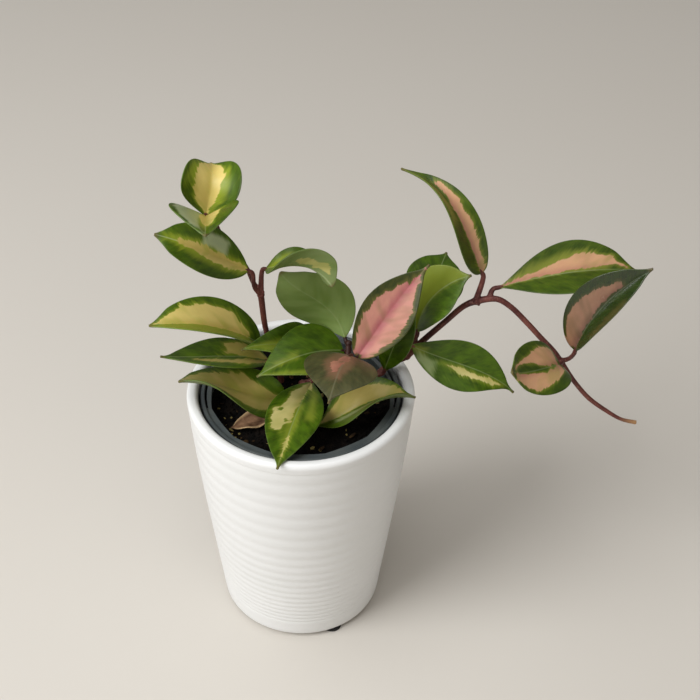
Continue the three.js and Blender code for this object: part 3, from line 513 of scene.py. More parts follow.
# Markings: zones as [from, to, left bounds, right bounds] along the leaf and across it.
MARKINGS = {
    "leaf_top_back": ("cream", dict(
        pale=[(0, 1, (-0.25, -0.5, -0.55, -0.5, -0.6, -0.7), (0.2, 0.3, 0.35, 0.35, 0.45, 0.55))],
        light=[(0.2, 0.75, (0.1, 0.2, 0.3), (0.45, 0.6, 0.6)), (0.6, 0.82, (-0.85, -0.85), (-0.4, -0.4))])),
    "leaf_top_front": ("cream", dict(
        pale=[(0, 0.6, (-0.5, -0.6, -0.3), (0.4, 0.3, 0.05))],
        light=[(0, 0.75, (0, 0, 0), (0.7, 0.6, 0.3))], silver=[(0.1, 0.9, (0.2, 0.3), (0.9, 0.8))])),
    "leaf_upper_left": ("cream", dict(
        pale=[(0, 0.82, (-0.4, -0.4, -0.35, -0.2, -0.1), (0.4, 0.15, 0.15, 0.2, 0.2))],
        light=[(0, 0.9, (-0.6, -0.55, -0.5, -0.2), (0.5, 0.3, 0.3, 0.3))],
        silver=[(0.28, 0.55, (0.25, 0.25), (0.8, 0.75))])),
    "leaf_arching": ("cream", dict(
        pale=[(0.55, 0.92, (0.15, 0.2), (0.5, 0.5))],
        light=[(0, 0.6, (-0.8, -0.7, -0.6), (0.4, 0.4, 0.3))])),
    "leaf_left_high": ("cream", dict(
        pale=[(0.15, 0.97, (-0.15, -0.2, -0.1, 0, 0), (0.3, 0.7, 0.75, 0.75, 0.5))],
        light=[(0.05, 1, (-1, -1, -1), (-0.3, 0, 0))])),
    # This leaf and the next take the darker copy of the cream look, which is painted shade.
    "leaf_left_middle": ("cream_in_painted_shade", dict(
        pale=[(0, 0.7, (-0.7, -0.65, -0.5), (-0.2, -0.25, -0.3)), (0, 0.4, (-0.1, 0.15), (0.95, 0.7))])),
    "leaf_left_low": ("cream_in_painted_shade", dict(
        pale=[(0.05, 0.95, (-0.5, -0.65, -0.7, -0.7, -0.3, 0.1), (0.2, 0.35, 0.7, 0.62, 0.7, 0.6))])),
    "leaf_fore_small": ("green", dict(light=[(0, 1, (-0.9, -0.9, -0.7), (0.4, 0.4, 0.2))])),
    "leaf_fore_dark": ("green", dict(
        light=[(0.55, 0.85, (-0.12, -0.1), (0.15, 0.15)), (0, 1, (-1, -1), (-0.7, -0.75))])),
    "leaf_front": ("green", dict(
        pale=[(0, 0.5, (0.0, 0.02, 0.15), (0.5, 0.6, 0.5)), (0.44, 0.62, (0.3, 0.4), (0.8, 0.75)),
              (0.64, 1, (-0.12, -0.1), (0.04, 0.1)), (0, 0.12, (-0.6, -0.5), (0.6, 0.6))],
        light=[(0.12, 0.48, (-0.75, -0.7), (-0.35, -0.4)), (0.3, 0.7, (-0.2, -0.2), (0.25, 0.2))])),
    "leaf_grey": ("olive", dict(
        pale=[(0.3, 0.52, (0.02, 0.05), (0.3, 0.22)), (0.06, 0.24, (-0.1, -0.1), (0.2, 0.2))],
        light=[(0, 0.62, (-0.4, -0.3, -0.1), (0.55, 0.5, 0.3))])),
    # This leaf takes the darker copy of the cream look, which is painted shade.
    "leaf_right_low": ("cream_in_painted_shade", dict(
        pale=[(0.05, 0.97, (-0.75, -0.75, -0.7, -0.6), (-0.08, 0, 0, -0.1))],
        silver=[(0.2, 0.8, (0.25, 0.25), (0.5, 0.5))])),
    "leaf_pink": ("rose", dict(
        pale=[(0.03, 0.78, (-0.75, -0.75, -0.7, -0.4), (0.3, 0.3, 0.3, -0.1)),
              (0.03, 0.95, (-0.2, -0.2, -0.2, 0), (0.7, 0.8, 0.75, 0.35))])),
    "leaf_back_pale": ("green", {}),
    "leaf_vine_near": ("green", dict(
        light=[(0, 1.1, (-1.3, -1.3), (0.02, 0.02))])),
    "leaf_vine_behind": ("green", {}),
    "leaf_vine_inner": ("green", {}),
    "leaf_vine_low": ("green", dict(
        pale=[(0.3, 0.87, (0.17, 0.18, 0.2), (0.24, 0.42, 0.58))],
        light=[(0, 0.12, (-0.5, -0.4), (0.5, 0.4))], silver=[(0.08, 0.24, (0.3, 0.3), (0.9, 0.9))])),
    "leaf_vine_arch": ("pinkish", dict(
        pale=[(0, 0.62, (0.0, 0.0), (0.6, 0.6)), (0.58, 0.78, (0.1, 0.3), (0.7, 0.7))],
        light=[(0.5, 1, (-0.9, -0.9), (-0.3, -0.2))])),
    "leaf_vine_right": ("pinkish", dict(
        pale=[(0, 0.93, (-0.5, -0.35, -0.45, -0.62, -0.55), (0.1, -0.04, -0.05, -0.14, -0.3))],
        light=[(0.1, 0.8, (-0.7, -0.6), (0, 0))])),
    "leaf_vine_gloss": ("glossy", dict(
        pale=[(0.04, 0.74, (-0.8, -0.85, -0.7, -0.4), (-0.08, -0.08, -0.1, -0.1))],
        light=[(0.25, 0.7, (0.8, 0.8), (1, 1))])),
    "leaf_vine_round": ("pinkish", dict(
        pale=[(0.08, 0.9, (-0.5, -0.55, -0.85, -0.7), (-0.05, -0.2, -0.05, -0.1)),
              (0.08, 0.87, (0.05, 0.1, 0.3, 0.35), (0.8, 0.75, 0.6, 0.5))])),
}
for number, (leaf_name, leaf_shape) in enumerate(LEAVES.items()):
    look, zones = MARKINGS[leaf_name]
    make_blade(leaf_name, leaf_shape, zones, number + 1.5, LEAF_SKINS[look])

# Stems: living tubes that swell at each node, grown together into one skin.
STEM_SIDES = 14
TUBE_STEP = 1.1


def curve_points(points, count):
    """Points along a centripetal curve through the given points, as in the part's source."""
    p = [np.array(q, float) for q in points]
    p = [2 * p[0] - p[1], *p, 2 * p[-1] - p[-2]]
    out = []
    for s in np.linspace(0, len(points) - 1, count):
        k = min(int(s), len(points) - 2)
        w = s - k
        a, b, c, d = p[k:k + 4]
        gap = [max(np.linalg.norm(y - x) ** 0.5, 1e-4) for x, y in ((a, b), (b, c), (c, d))]
        t1 = ((b - a) / gap[0] - (c - a) / (gap[0] + gap[1]) + (c - b) / gap[1]) * gap[1]
        t2 = ((c - b) / gap[1] - (d - b) / (gap[1] + gap[2]) + (d - c) / gap[2]) * gap[1]
        out.append(b + t1 * w + (3 * (c - b) - 2 * t1 - t2) * w ** 2 + (2 * (b - c) + t1 + t2) * w ** 3)
    return np.array(out)


def tube(points, radii):
    """Closed tube along a curve: its points and faces."""
    rough = curve_points(points, 12 * len(points))
    length = np.linalg.norm(np.diff(rough, axis=0), axis=1).sum()
    count = max(6, int(length / TUBE_STEP))
    centre = curve_points(points, count)
    radius = np.interp(np.linspace(0, len(radii) - 1, count), range(len(radii)), radii)
    along = unit(np.gradient(centre, axis=0))
    side = unit(np.cross(along[0], (0.3, 0.9, 0.1)))
    rings = []
    for c, d, r in zip(centre, along, radius):
        side = unit(side - side.dot(d) * d)
        other = np.cross(d, side)
        turn = np.linspace(0, 2 * math.pi, STEM_SIDES, endpoint=False)
        rings.append(c + r * (np.cos(turn)[:, None] * side + np.sin(turn)[:, None] * other))
    return (np.concatenate([np.concatenate(rings), centre[[0]], centre[[-1]]]),
            ring_faces(count, STEM_SIDES))


def knot(place, radius):
    """A swelling at a node: a short thick tube with rounded ends."""
    x, y, z = place
    steps = np.linspace(-0.98, 0.98, 9)
    points = [(x, y, z + s * radius) for s in steps]
    return tube(points, [radius * math.sqrt(1 - s * s) for s in steps])


def petiole(start, leaf_name, radius, via=()):
    """The short stalk of a leaf, which runs a little way into its blade as the midrib."""
    leaf = {**LEAF_DEFAULTS, **LEAVES[leaf_name]}
    point, along, up, _ = midrib_frame(leaf, [0, 0.03, 0.07])
    neck = point[0]
    before = neck - 3 * along[0]
    points = [start, *via, before, neck, point[1] - up[1] * 0.15, point[2] - up[2] * 0.3]
    return tube(points, [radius * 1.3] + [radius] * len(via) + [radius, radius * 0.95, radius * 0.7, 0.3])


SOIL_EDGE = 137
ROOT_DEPTH = 11
ROOT_LEVEL = SOIL_EDGE - ROOT_DEPTH
LEFT_LOW, LEFT_NODE, LEFT_FORK = (-12.3, 17, 151), (-15, 17, 162.5), (-20, 9.5, 202)
LEFT_STEM = [(-10, 15.5, ROOT_LEVEL), (-10.7, 16, 139), LEFT_LOW, LEFT_NODE, (-18, 14.5, 175), LEFT_FORK]
LEFT_CROWN = (-44, -6, 255.3)
SHOOT = [LEFT_FORK, (-23.5, 10.5, 208.6), (-26.7, 11.5, 217), (-31.8, 12.4, 225.6), (-39.6, 12.6, 238.6),
         (-41.4, 7.8, 248.6), LEFT_CROWN]
MIDDLE_LOW, MIDDLE_NODE, MIDDLE_TOP = (14, 11, 152), (24, 2, 166), (25, 6, 173)
MIDDLE_STEM = [(8, 14, ROOT_LEVEL), (9, 13.3, 139), MIDDLE_LOW, MIDDLE_NODE, MIDDLE_TOP]
LOW_NODE = (1, 7.5, 144.5)
LOW_STEM = [(0, 12, ROOT_LEVEL), (0, 11.6, 140), LOW_NODE]
VINE_INNER, VINE_RIM, VINE_TOP, VINE_LAST = (40, 12, 146), (56, 15, 157), (89.5, 12, 196), (135.5, 5, 162)
VINE = [
    (29, 7, ROOT_LEVEL), (31, 8, 139), VINE_INNER, (49, 15.5, 152), VINE_RIM, (63, 14, 167),
    (75, 13, 182), (84, 12, 193), (90, 12, 196), (100, 11, 198), (107, 10, 194), (117, 8, 184),
    (124, 7, 176), (132, 6, 167), (136, 5, 161), (144, 4, 149), (153, 3, 138), (163, 2, 130),
    (172, 1, 124.5), (180, 0, 123)]
VINE_RADII = [1.8, 1.9, 1.8, 1.8, 1.9, 1.7, 1.6, 1.6, 1.9, 1.6, 1.5, 1.5, 1.5, 1.5, 1.7, 1.3, 1.3, 1.2, 1.0,
              1.2]
SPUR = [(56.5, 15, 157.5), (59, 16, 166), (60.2, 15.3, 170)]
BUD_RADIUS = 0.75
STEMS = {
    "stem_left": [
        tube(LEFT_STEM, [1.6, 1.7, 1.6, 1.6, 1.5, 1.7]), tube(SHOOT, [1.5, 1.3, 1.2, 1.1, 1.1, 1.1, 1.2]),
        knot(LEFT_NODE, 2.0), knot(LEFT_FORK, 2.1), knot(LEFT_CROWN, 1.6),
        petiole(LEFT_FORK, "leaf_upper_left", 1.15, [(-23, 6.5, 209)]),
        petiole(LEFT_FORK, "leaf_arching", 1.2), petiole(LEFT_NODE, "leaf_left_high", 1.2),
        petiole(LEFT_LOW, "leaf_left_middle", 1.2), petiole(LEFT_CROWN, "leaf_top_back", 1.1),
        petiole(LEFT_CROWN, "leaf_top_front", 1.1)],
    "stem_middle": [
        tube(MIDDLE_STEM, [1.8, 1.9, 1.8, 1.8, 1.5]), knot(MIDDLE_NODE, 2.3), knot(MIDDLE_TOP, 1.9),
        petiole(MIDDLE_NODE, "leaf_pink", 1.2), petiole(MIDDLE_NODE, "leaf_grey", 1.2),
        petiole(MIDDLE_TOP, "leaf_back_pale", 1.1), petiole(MIDDLE_TOP, "leaf_fore_dark", 1.1),
        petiole(MIDDLE_LOW, "leaf_fore_small", 1.1)],
    "stem_low": [
        tube(LOW_STEM, [1.6, 1.7, 1.8]), knot(LOW_NODE, 2.1), petiole(LOW_NODE, "leaf_front", 1.1),
        petiole(LOW_NODE, "leaf_left_low", 1.1),
        petiole(LOW_NODE, "leaf_right_low", 1.1, [(2.5, -8, 143.5)])],
    "vine": [
        tube(VINE, VINE_RADII), tube(SPUR, [1.7, 1.6, 1.6]),
        knot(VINE_RIM, 2.4), knot(VINE_TOP, 2.3), knot(VINE_LAST, 2.0),
        petiole(SPUR[2], "leaf_vine_near", 1.2),
        petiole(SPUR[1], "leaf_vine_behind", 1.1, [(58.5, 18, 165)]),
        petiole(VINE_INNER, "leaf_vine_inner", 1.1),
        petiole(VINE_RIM, "leaf_vine_low", 1.1, [(56, 13.5, 161.5)]),
        petiole(VINE_TOP, "leaf_vine_arch", 1.3), petiole((96, 11.4, 197.5), "leaf_vine_right", 1.3),
        petiole(VINE_LAST, "leaf_vine_gloss", 1.2, [(139, 4, 164)]),
        petiole(VINE_LAST, "leaf_vine_round", 1.2)],
}
STEM_BUDS = {
    "stem_left": [(-18.6, 8.6, 204.2), (-21.2, 8.2, 203.6), (-14.2, 15.2, 164), (-12.2, 15.4, 153)],
    "stem_middle": [(23, 0.4, 168), (15.2, 9.4, 153.4)],
    "stem_low": [(2.2, 6.2, 146.2)],
    "vine": [(88, 10.4, 198), (91, 10.6, 194.6), (136.8, 3.6, 163.6), (134.2, 3.6, 160.4),
             (57.8, 13.2, 158.4), (153, 2, 137.6)],
}


# Young stem skin: a thin bark over green, so it looks purple brown with fine pale flecks, and
# turns tan where the vine's tip has dried.
DRIED_FROM, DRIED_TO = 170, 180


def stem_material(name, dark, bark, fleck):
    material, tree, shader = start_material(name, {"IOR": 1.45, "Specular IOR Level": 0.3})
    blotch = noise_on_object(tree, (9.1, 9.1, 16.7), 3)
    flecks = noise_on_object(tree, (0.714, 0.714, 2), 2)
    blotchy = add_node(tree, "ShaderNodeMapRange", {0: blotch, 1: 0.35, 2: 0.65}).outputs[0]
    flecked = add_node(tree, "ShaderNodeMapRange", {0: flecks, 1: 0.56, 2: 0.72, 4: 0.6}).outputs[0]
    where = add_node(tree, "ShaderNodeTexCoord").outputs["Object"]
    x, _, _ = add_node(tree, "ShaderNodeSeparateXYZ", {0: where}).outputs
    dried = add_node(tree, "ShaderNodeMapRange", {
        0: x, 1: DRIED_FROM * MM, 2: DRIED_TO * MM}).outputs[0]
    colour = layered(tree, dark, (blotchy, bark), (flecked, fleck), (dried, "#A07C54"))
    rough = add_node(tree, "ShaderNodeMapRange", {0: blotch, 1: 0.3, 2: 0.7, 3: 0.42, 4: 0.6}).outputs[0]
    dress(tree, shader, colour, rough, flecks, 0.5, 0.2)
    return material


STEM_SKIN = stem_material("young_stem_bark", "#421E1E", "#704038", "#8C6052")
DARK_SKIN = stem_material("dark_stem_bark", "#241210", "#40231C", "#5E4030")
SKIN_VOXEL = 0.00034
SKIN_SMOOTHING = 5


def apply_modifiers(piece):
    """Leaves the piece with a plain mesh that its modifiers have shaped."""
    graph = bpy.context.evaluated_depsgraph_get()
    mesh = bpy.data.meshes.new_from_object(piece.evaluated_get(graph))
    piece.modifiers.clear()
    piece.data = mesh


def grown_together(name, bodies, material, replaced):
    """Closed tubes and swellings joined under one smooth skin."""
    points, faces, start = [], [], 0
    for body_points, body_faces in bodies:
        points.append(body_points)
        faces += [tuple(start + k for k in f) for f in body_faces]
        start += len(body_points)
    mesh = bpy.data.meshes.new(name)
    lifted = (np.concatenate(points) + (0, 0, PAD_THICK)) * MM
    mesh.from_pydata(lifted.tolist(), [], faces)
    piece = bpy.data.objects.new(name, mesh)
    bpy.context.scene.collection.objects.link(piece)
    skin = piece.modifiers.new("skin", "REMESH")
    skin.mode = "VOXEL"
    skin.voxel_size = SKIN_VOXEL
    skin.use_smooth_shade = True
    smooth = piece.modifiers.new("smooth", "SMOOTH")
    smooth.factor = 0.5
    smooth.iterations = SKIN_SMOOTHING
    apply_modifiers(piece)
    piece.data.materials.clear()
    piece.data.materials.append(material)
    declare(piece, replaced)


for stem_name, bodies in STEMS.items():
    buds = [knot(place, BUD_RADIUS) for place in STEM_BUDS[stem_name]]
    skin = DARK_SKIN if stem_name == "stem_middle" else STEM_SKIN
    grown_together(stem_name + "_skin", bodies + buds, skin, [stem_name])


# Dry pieces: two old stubs and a curled dead leaf, papery and brown. What gives it to the eye
# is a dull, fibrous surface that turns paler towards the leaf's edges.
def dry_material(name, dark, pale, edge_pale):
    material, tree, shader = start_material(name, {
        "IOR": 1.45, "Specular IOR Level": 0.25, "Roughness": 0.75})
    fibre = noise_on_object(tree, (1.11, 1.11, 1.11), 4)
    patch = noise_on_object(tree, (6.25, 6.25, 6.25), 4)
    patchy = add_node(tree, "ShaderNodeMapRange", {0: patch, 1: 0.35, 2: 0.68}).outputs[0]
    blade = add_node(tree, "ShaderNodeAttribute", attribute_name="blade").outputs["Vector"]
    _, reach, _ = add_node(tree, "ShaderNodeSeparateXYZ", {0: blade}).outputs
    towards_edges = add_node(tree, "ShaderNodeMapRange", {0: reach, 1: 0.7, 2: 1.0, 4: 0.75}).outputs[0]
    colour = layered(tree, dark, (patchy, pale), (towards_edges, edge_pale))
    dress(tree, shader, colour, None, fibre, 0.6, 0.4)
    return material


DRY_BROWN = dry_material("dry_leaf_brown", "#4A3220", "#98765A", "#C2A67C")
make_blade("dry_leaf", DRY_LEAF, {}, 40.5, DRY_BROWN, pucker=2.2)
STUBS = {
    "stub_left": ([(-5, 19, SOIL_EDGE - 8), (-5.5, 19, 143), (-7, 18, 150)], [1.2, 1.2, 1.0]),
    "stub_right": ([(4, 20, SOIL_EDGE - 8), (4, 20, 142), (6, 19, 147)], [1.1, 1.1, 0.9]),
}
for stub_name, (points, radii) in STUBS.items():
    grown_together(stub_name + "_skin", [tube(points, radii)], DRY_BROWN, [stub_name])

# Cover pot: cast stoneware with ribs that lie closer towards the foot, under a satin white
# glaze, which gives the eye a broad soft sheen and a faint orange peel.
POT_HEIGHT = 148
RIM_RADIUS = 60
BASE_RADIUS = 45
BASE_ROUND = 3.7
LIP_ROUND = 2.6
LIP_WIDTH = 6.0
WALL_THICK = 5.0
WALL_BELLY, BELLY_LEAN = 0.8, 1.36
FLOOR_THICK = 5.0
POT_SEGMENTS = 192
WALL_STEP = 0.55


def wall_radius(height):
    s = np.clip((height - BASE_ROUND) / (POT_HEIGHT - LIP_ROUND - BASE_ROUND), 0, 1)
    belly = WALL_BELLY * 4 * s * (1 - s) * (1 + BELLY_LEAN * (s - 0.5))
    return BASE_RADIUS + (RIM_RADIUS - BASE_RADIUS) * s + belly


LOWEST_RIB, RIB_LIMIT = 13.2, POT_HEIGHT - 12
LEAST_STEP, MOST_STEP, STEP_GROWTH = 3.0, 9.0, 0.085


def rib_heights():
    heights = [LOWEST_RIB]
    while heights[-1] < RIB_LIMIT:
        step = LEAST_STEP + STEP_GROWTH * (heights[-1] - LOWEST_RIB)
        heights.append(heights[-1] + min(MOST_STEP, step))
    return np.array(heights)


def quarter(centre, radius, start, end, count=7):
    """Points [radius, height] on an arc about a centre, from one angle to another."""
    turns = np.radians(np.linspace(start, end, count))
    return [(centre[0] + radius * math.cos(a), centre[1] + radius * math.sin(a)) for a in turns]


def lathe(profile, segments, shift=None):
    """A closed turned shape from [radius, height] points that start and end on the axis."""
    profile = np.array(profile, float)
    inner = profile[1:-1]
    turns = np.linspace(0, 2 * math.pi, segments, endpoint=False)
    radius = np.broadcast_to(inner[:, [0]], (len(inner), segments)).copy()
    height = np.broadcast_to(inner[:, [1]], (len(inner), segments)).copy()
    if shift:
        radius += shift(inner[:, [0]], inner[:, [1]], turns[None, :])
    points = np.stack([radius * np.cos(turns), radius * np.sin(turns), height], -1).reshape(-1, 3)
    points = np.concatenate([points, [(0, 0, profile[0][1]), (0, 0, profile[-1][1])]])
    return points, ring_faces(len(inner), segments)


RIBS = rib_heights()
GROOVE_DEEP, GROOVE_FADE, GROOVE_SPREAD = 0.28, 0.08, 0.28


def rib_relief(radius, height, turns):
    """How far the outer wall draws in: a soft groove at each rib, never quite level."""
    outside = (radius > wall_radius(height) - 0.5) & (height > 8) & (height < POT_HEIGHT - 6)
    waver = 0.1 * np.sin(2 * turns + height * 0.13) + 0.06 * np.sin(5 * turns - height * 0.21)
    relief = np.zeros(np.broadcast(height, turns).shape)
    for k, rib in enumerate(RIBS):
        gap = RIBS[k + 1] - rib if k + 1 < len(RIBS) else MOST_STEP
        depth = GROOVE_DEEP - GROOVE_FADE * rib / POT_HEIGHT
        away = (height + waver - rib) / (gap * GROOVE_SPREAD)
        relief = relief - depth * np.exp(-away ** 2)
    return np.where(outside, relief, 0)


pot_profile = [(0, 0), (12, 0), (26, 0), (36, 0)]
pot_profile += quarter((BASE_RADIUS - BASE_ROUND, BASE_ROUND), BASE_ROUND, -90, 0)
wall_heights = np.arange(BASE_ROUND + 0.6, POT_HEIGHT - LIP_ROUND - 0.3, WALL_STEP)
pot_profile += [(float(wall_radius(h)), float(h)) for h in wall_heights]
pot_profile += quarter((RIM_RADIUS - LIP_ROUND, POT_HEIGHT - LIP_ROUND), LIP_ROUND, 0, 90, 9)
pot_profile += quarter((RIM_RADIUS - LIP_WIDTH + LIP_ROUND, POT_HEIGHT - LIP_ROUND), LIP_ROUND, 90, 180, 9)
pot_profile += [(float(wall_radius(h)) - WALL_THICK, float(h)) for h in np.linspace(134, 12, 24)]
pot_profile += quarter((BASE_RADIUS - WALL_THICK - 4, FLOOR_THICK + 4), 4, 0, -90, 5)
pot_profile += [(20, FLOOR_THICK), (0, FLOOR_THICK)]


GLAZE = two_toned(
    "satin_glazed_stoneware",
    {"IOR": 1.5, "Specular IOR Level": 0.5, "Coat Weight": 0.25, "Coat Roughness": 0.3},
    "#EAEBEC", "#E4E6E5", (0, 1), ((45.5, 45.5, 25), 3), ((2.38, 2.38, 2.38), 2), (0.25, 0.2),
    (0.36, 0.48))
pot_points, pot_faces = lathe(pot_profile, POT_SEGMENTS, rib_relief)
make_piece("cover_pot_glazed", pot_points, pot_faces, GLAZE, ["cover_pot"])


# Pads: black rubber discs with a soft edge, dull all over and faintly dusty.
MOULDED = {"IOR": 1.49, "Specular IOR Level": 0.45}
DUST = ((16.7, 16.7, 16.7), 4)
RUBBER = two_toned("black_rubber", MOULDED, "#1B1A1A", "#2A2928", (0.4, 0.75), DUST,
                   ((0.7, 0.7, 0.7), 2), (0.3, 0.1), (0.7, 0.9))
PAD_RADIUS = 5.5
PAD_CIRCLE = 39.5
PAD_EDGE = 0.4
pad_profile = [(0, -PAD_THICK)]
pad_profile += quarter((PAD_RADIUS - PAD_EDGE, PAD_EDGE - PAD_THICK), PAD_EDGE, -90, 0, 4)
pad_profile += [(PAD_RADIUS, 0), (0, 0)]
for pad_name, degrees in {"pad_front": -64, "pad_right": 56, "pad_left": 176}.items():
    pad_points, pad_faces = lathe(pad_profile, 48)
    turn = math.radians(degrees)
    centre = (PAD_CIRCLE * math.cos(turn), PAD_CIRCLE * math.sin(turn), 0)
    make_piece(pad_name + "_disc", pad_points + centre, pad_faces, RUBBER, [pad_name])

# Nursery pot: thin moulded polypropylene with a flat ledge, arc slots and a raised lip. An even
# fine grain from the mould and a low sheen give the plastic away, and dust dulls it in places.
NURSERY_BASE = FLOOR_THICK + 0.3
NURSERY_TOP = 145.3
LEDGE_TOP = 144.3
LEDGE_THICK = 1.2
NURSERY_RIM = 52.7
LIP_INNER = 50.55
NURSERY_WALL_TOP = 49.4
NURSERY_WALL_BASE = 34.8
OPENING_APOTHEM = 47
SLOT_INNER = 49.45
SLOT_ARCS = ((118, 194), (-13, 62), (75, 105))
under_ledge = LEDGE_TOP - LEDGE_THICK
nursery_profile = [
    (0, NURSERY_BASE), (NURSERY_WALL_BASE - 0.6, NURSERY_BASE), (NURSERY_WALL_BASE, NURSERY_BASE + 0.6),
    (NURSERY_WALL_TOP, under_ledge), (NURSERY_RIM - 1.2, under_ledge),
    (NURSERY_RIM - 1.2, NURSERY_TOP - 12), (NURSERY_RIM - 0.6, NURSERY_TOP - 12.2),
    (NURSERY_RIM, NURSERY_TOP - 12)]
nursery_profile += quarter((NURSERY_RIM - 0.8, NURSERY_TOP - 0.8), 0.8, 0, 90, 5)
nursery_profile += quarter((LIP_INNER + 0.5, NURSERY_TOP - 0.5), 0.5, 90, 180, 4)
nursery_profile += [
    (LIP_INNER, LEDGE_TOP + 0.15), (LIP_INNER - 0.15, LEDGE_TOP), (OPENING_APOTHEM - 2, LEDGE_TOP),
    (OPENING_APOTHEM - 2, under_ledge), (NURSERY_WALL_TOP - 0.9, under_ledge),
    (NURSERY_WALL_BASE - 0.9, NURSERY_BASE + 1.2), (0, NURSERY_BASE + 1.2)]
nursery_points, nursery_faces = lathe(nursery_profile, POT_SEGMENTS)
POLYPROPYLENE = two_toned("moulded_polypropylene", MOULDED, "#40474A", "#555A58", (0.4, 0.75), DUST,
                          ((1.1, 1.1, 1.1), 2), (0.3, 0.1), (0.38, 0.55))
nursery = make_piece("nursery_pot_moulded", nursery_points, nursery_faces, POLYPROPYLENE,
                     ["nursery_pot"])


def prism(outline, bottom, top):
    """A flat outline raised between two heights, as a hidden cutter."""
    count = len(outline)
    points = [(x, y, z) for z in (bottom, top) for x, y in outline]
    faces = [tuple(range(count))[::-1], tuple(range(count, 2 * count))]
    faces += [(k, (k + 1) % count, count + (k + 1) % count, count + k) for k in range(count)]
    mesh = bpy.data.meshes.new("cutter")
    mesh.from_pydata(((np.array(points) + (0, 0, PAD_THICK)) * MM).tolist(), [], faces)
    return bpy.data.objects.new("cutter", mesh)


def around(radius, start, end, count):
    turns = np.radians(np.linspace(start, end, count))
    return [(radius * math.cos(a), radius * math.sin(a)) for a in turns]


FLAT_BLEND = 0.55
opening = []
for degrees in np.arange(0, 360, 1.5):
    off_flat = (degrees + 15) % 30 - 15
    flat = OPENING_APOTHEM / math.cos(math.radians(off_flat))
    opening.append((degrees, OPENING_APOTHEM + FLAT_BLEND * (flat - OPENING_APOTHEM)))
opening = [(r * math.cos(math.radians(d)), r * math.sin(math.radians(d))) for d, r in opening]
cutters = [prism(opening, under_ledge - 0.3, LEDGE_TOP + 0.5)]
for start, end in SLOT_ARCS:
    outline = around(LIP_INNER - 0.05, start, end, 60) + around(SLOT_INNER, end, start, 60)
    cutters.append(prism(outline, under_ledge - 0.5, LEDGE_TOP + 0.1))
for cutter in cutters:
    bpy.context.scene.collection.objects.link(cutter)
    cut = nursery.modifiers.new("cut", "BOOLEAN")
    cut.operation = "DIFFERENCE"
    cut.solver = "EXACT"
    cut.object = cutter
weld = nursery.modifiers.new("weld", "WELD")
weld.merge_threshold = 0.00001
apply_modifiers(nursery)
nursery.data.set_sharp_from_angle(angle=math.radians(35))
for cutter in cutters:
    bpy.data.objects.remove(cutter)

# Potting soil: dark peat with crumbs, pale grit and chips of bark.
SOIL_CROWN = 1.6
SOIL_ROUGHNESS = 0.5
SOIL_RINGS = 84
SOIL_SEGMENTS = 220


def nursery_inside(z):
    part = (z - NURSERY_BASE) / (under_ledge - NURSERY_BASE)
    return NURSERY_WALL_BASE + part * (NURSERY_WALL_TOP - NURSERY_WALL_BASE) - 1.5


def soil_points():
    edge = nursery_inside(SOIL_EDGE) + 0.3
    radius = edge * np.linspace(1, 0.012, SOIL_RINGS)[:, None]
    turn = np.linspace(0, 2 * math.pi, SOIL_SEGMENTS, endpoint=False)[None, :]
    x, y = radius * np.cos(turn), radius * np.sin(turn)
    part = radius / OPENING_APOTHEM
    lumps = np.sin(radius * 0.55 + 3 * turn) * np.cos(radius * 0.31 - 5 * turn) * (1 - part ** 4)
    z = SOIL_EDGE + SOIL_CROWN * (1 - part ** 2) + SOIL_ROUGHNESS * lumps
    clods = 0.9 * wander(x / 5.5, y / 5.5, 3.1) + 0.6 * np.abs(wander(x / 2.4, y / 2.4, 8.2))
    z = z + clods + 0.35 * wander(x / 1.1, y / 1.1, 1.7) - 0.25
    top = np.stack([x, y, z], -1)
    floor = NURSERY_BASE + 1.5
    walls = []
    for level in (floor, (floor + SOIL_EDGE) / 2):
        wall = nursery_inside(level) + 0.3
        walls.append(np.stack([wall * np.cos(turn[0]), wall * np.sin(turn[0]),
                               np.full(SOIL_SEGMENTS, level)], -1))
    rings = np.concatenate([np.stack(walls), top])
    middle = [(0, 0, floor), (0, 0, float(z[-1].mean()))]
    return np.concatenate([rings.reshape(-1, 3), middle]), ring_faces(len(rings), SOIL_SEGMENTS)


# Damp peat, grit and bark: dead matt and broken up, so only their crumbs catch any light.
DAMP = {"IOR": 1.4, "Specular IOR Level": 0.2, "Roughness": 0.95}
PEAT, GRIT, BARK = (
    two_toned(name, DAMP, dark, brown, (brown_from, 0.75), ((4.35, 4.35, 4.35), 3),
              ((1.43, 1.43, 1.43), 4), (0.8, 0.6))
    for name, dark, brown, brown_from in (("damp_peat", "#070504", "#1A130D", 0.45),
                                          ("pale_grit", "#6E6238", "#A0915A", 0.3),
                                          ("bark_chip", "#241810", "#4A3820", 0.3)))
soil_top_points, soil_faces = soil_points()
make_piece("soil_peat", soil_top_points, soil_faces, PEAT, ["soil"])


LEAST_SHAPE, MOST_SHAPE = (0.6, 0.6, 0.5), (1.3, 1.1, 0.9)
LEAST_TURN, MOST_TURN = (-0.6, -0.6, 0), (0.6, 0.6, 6.28)


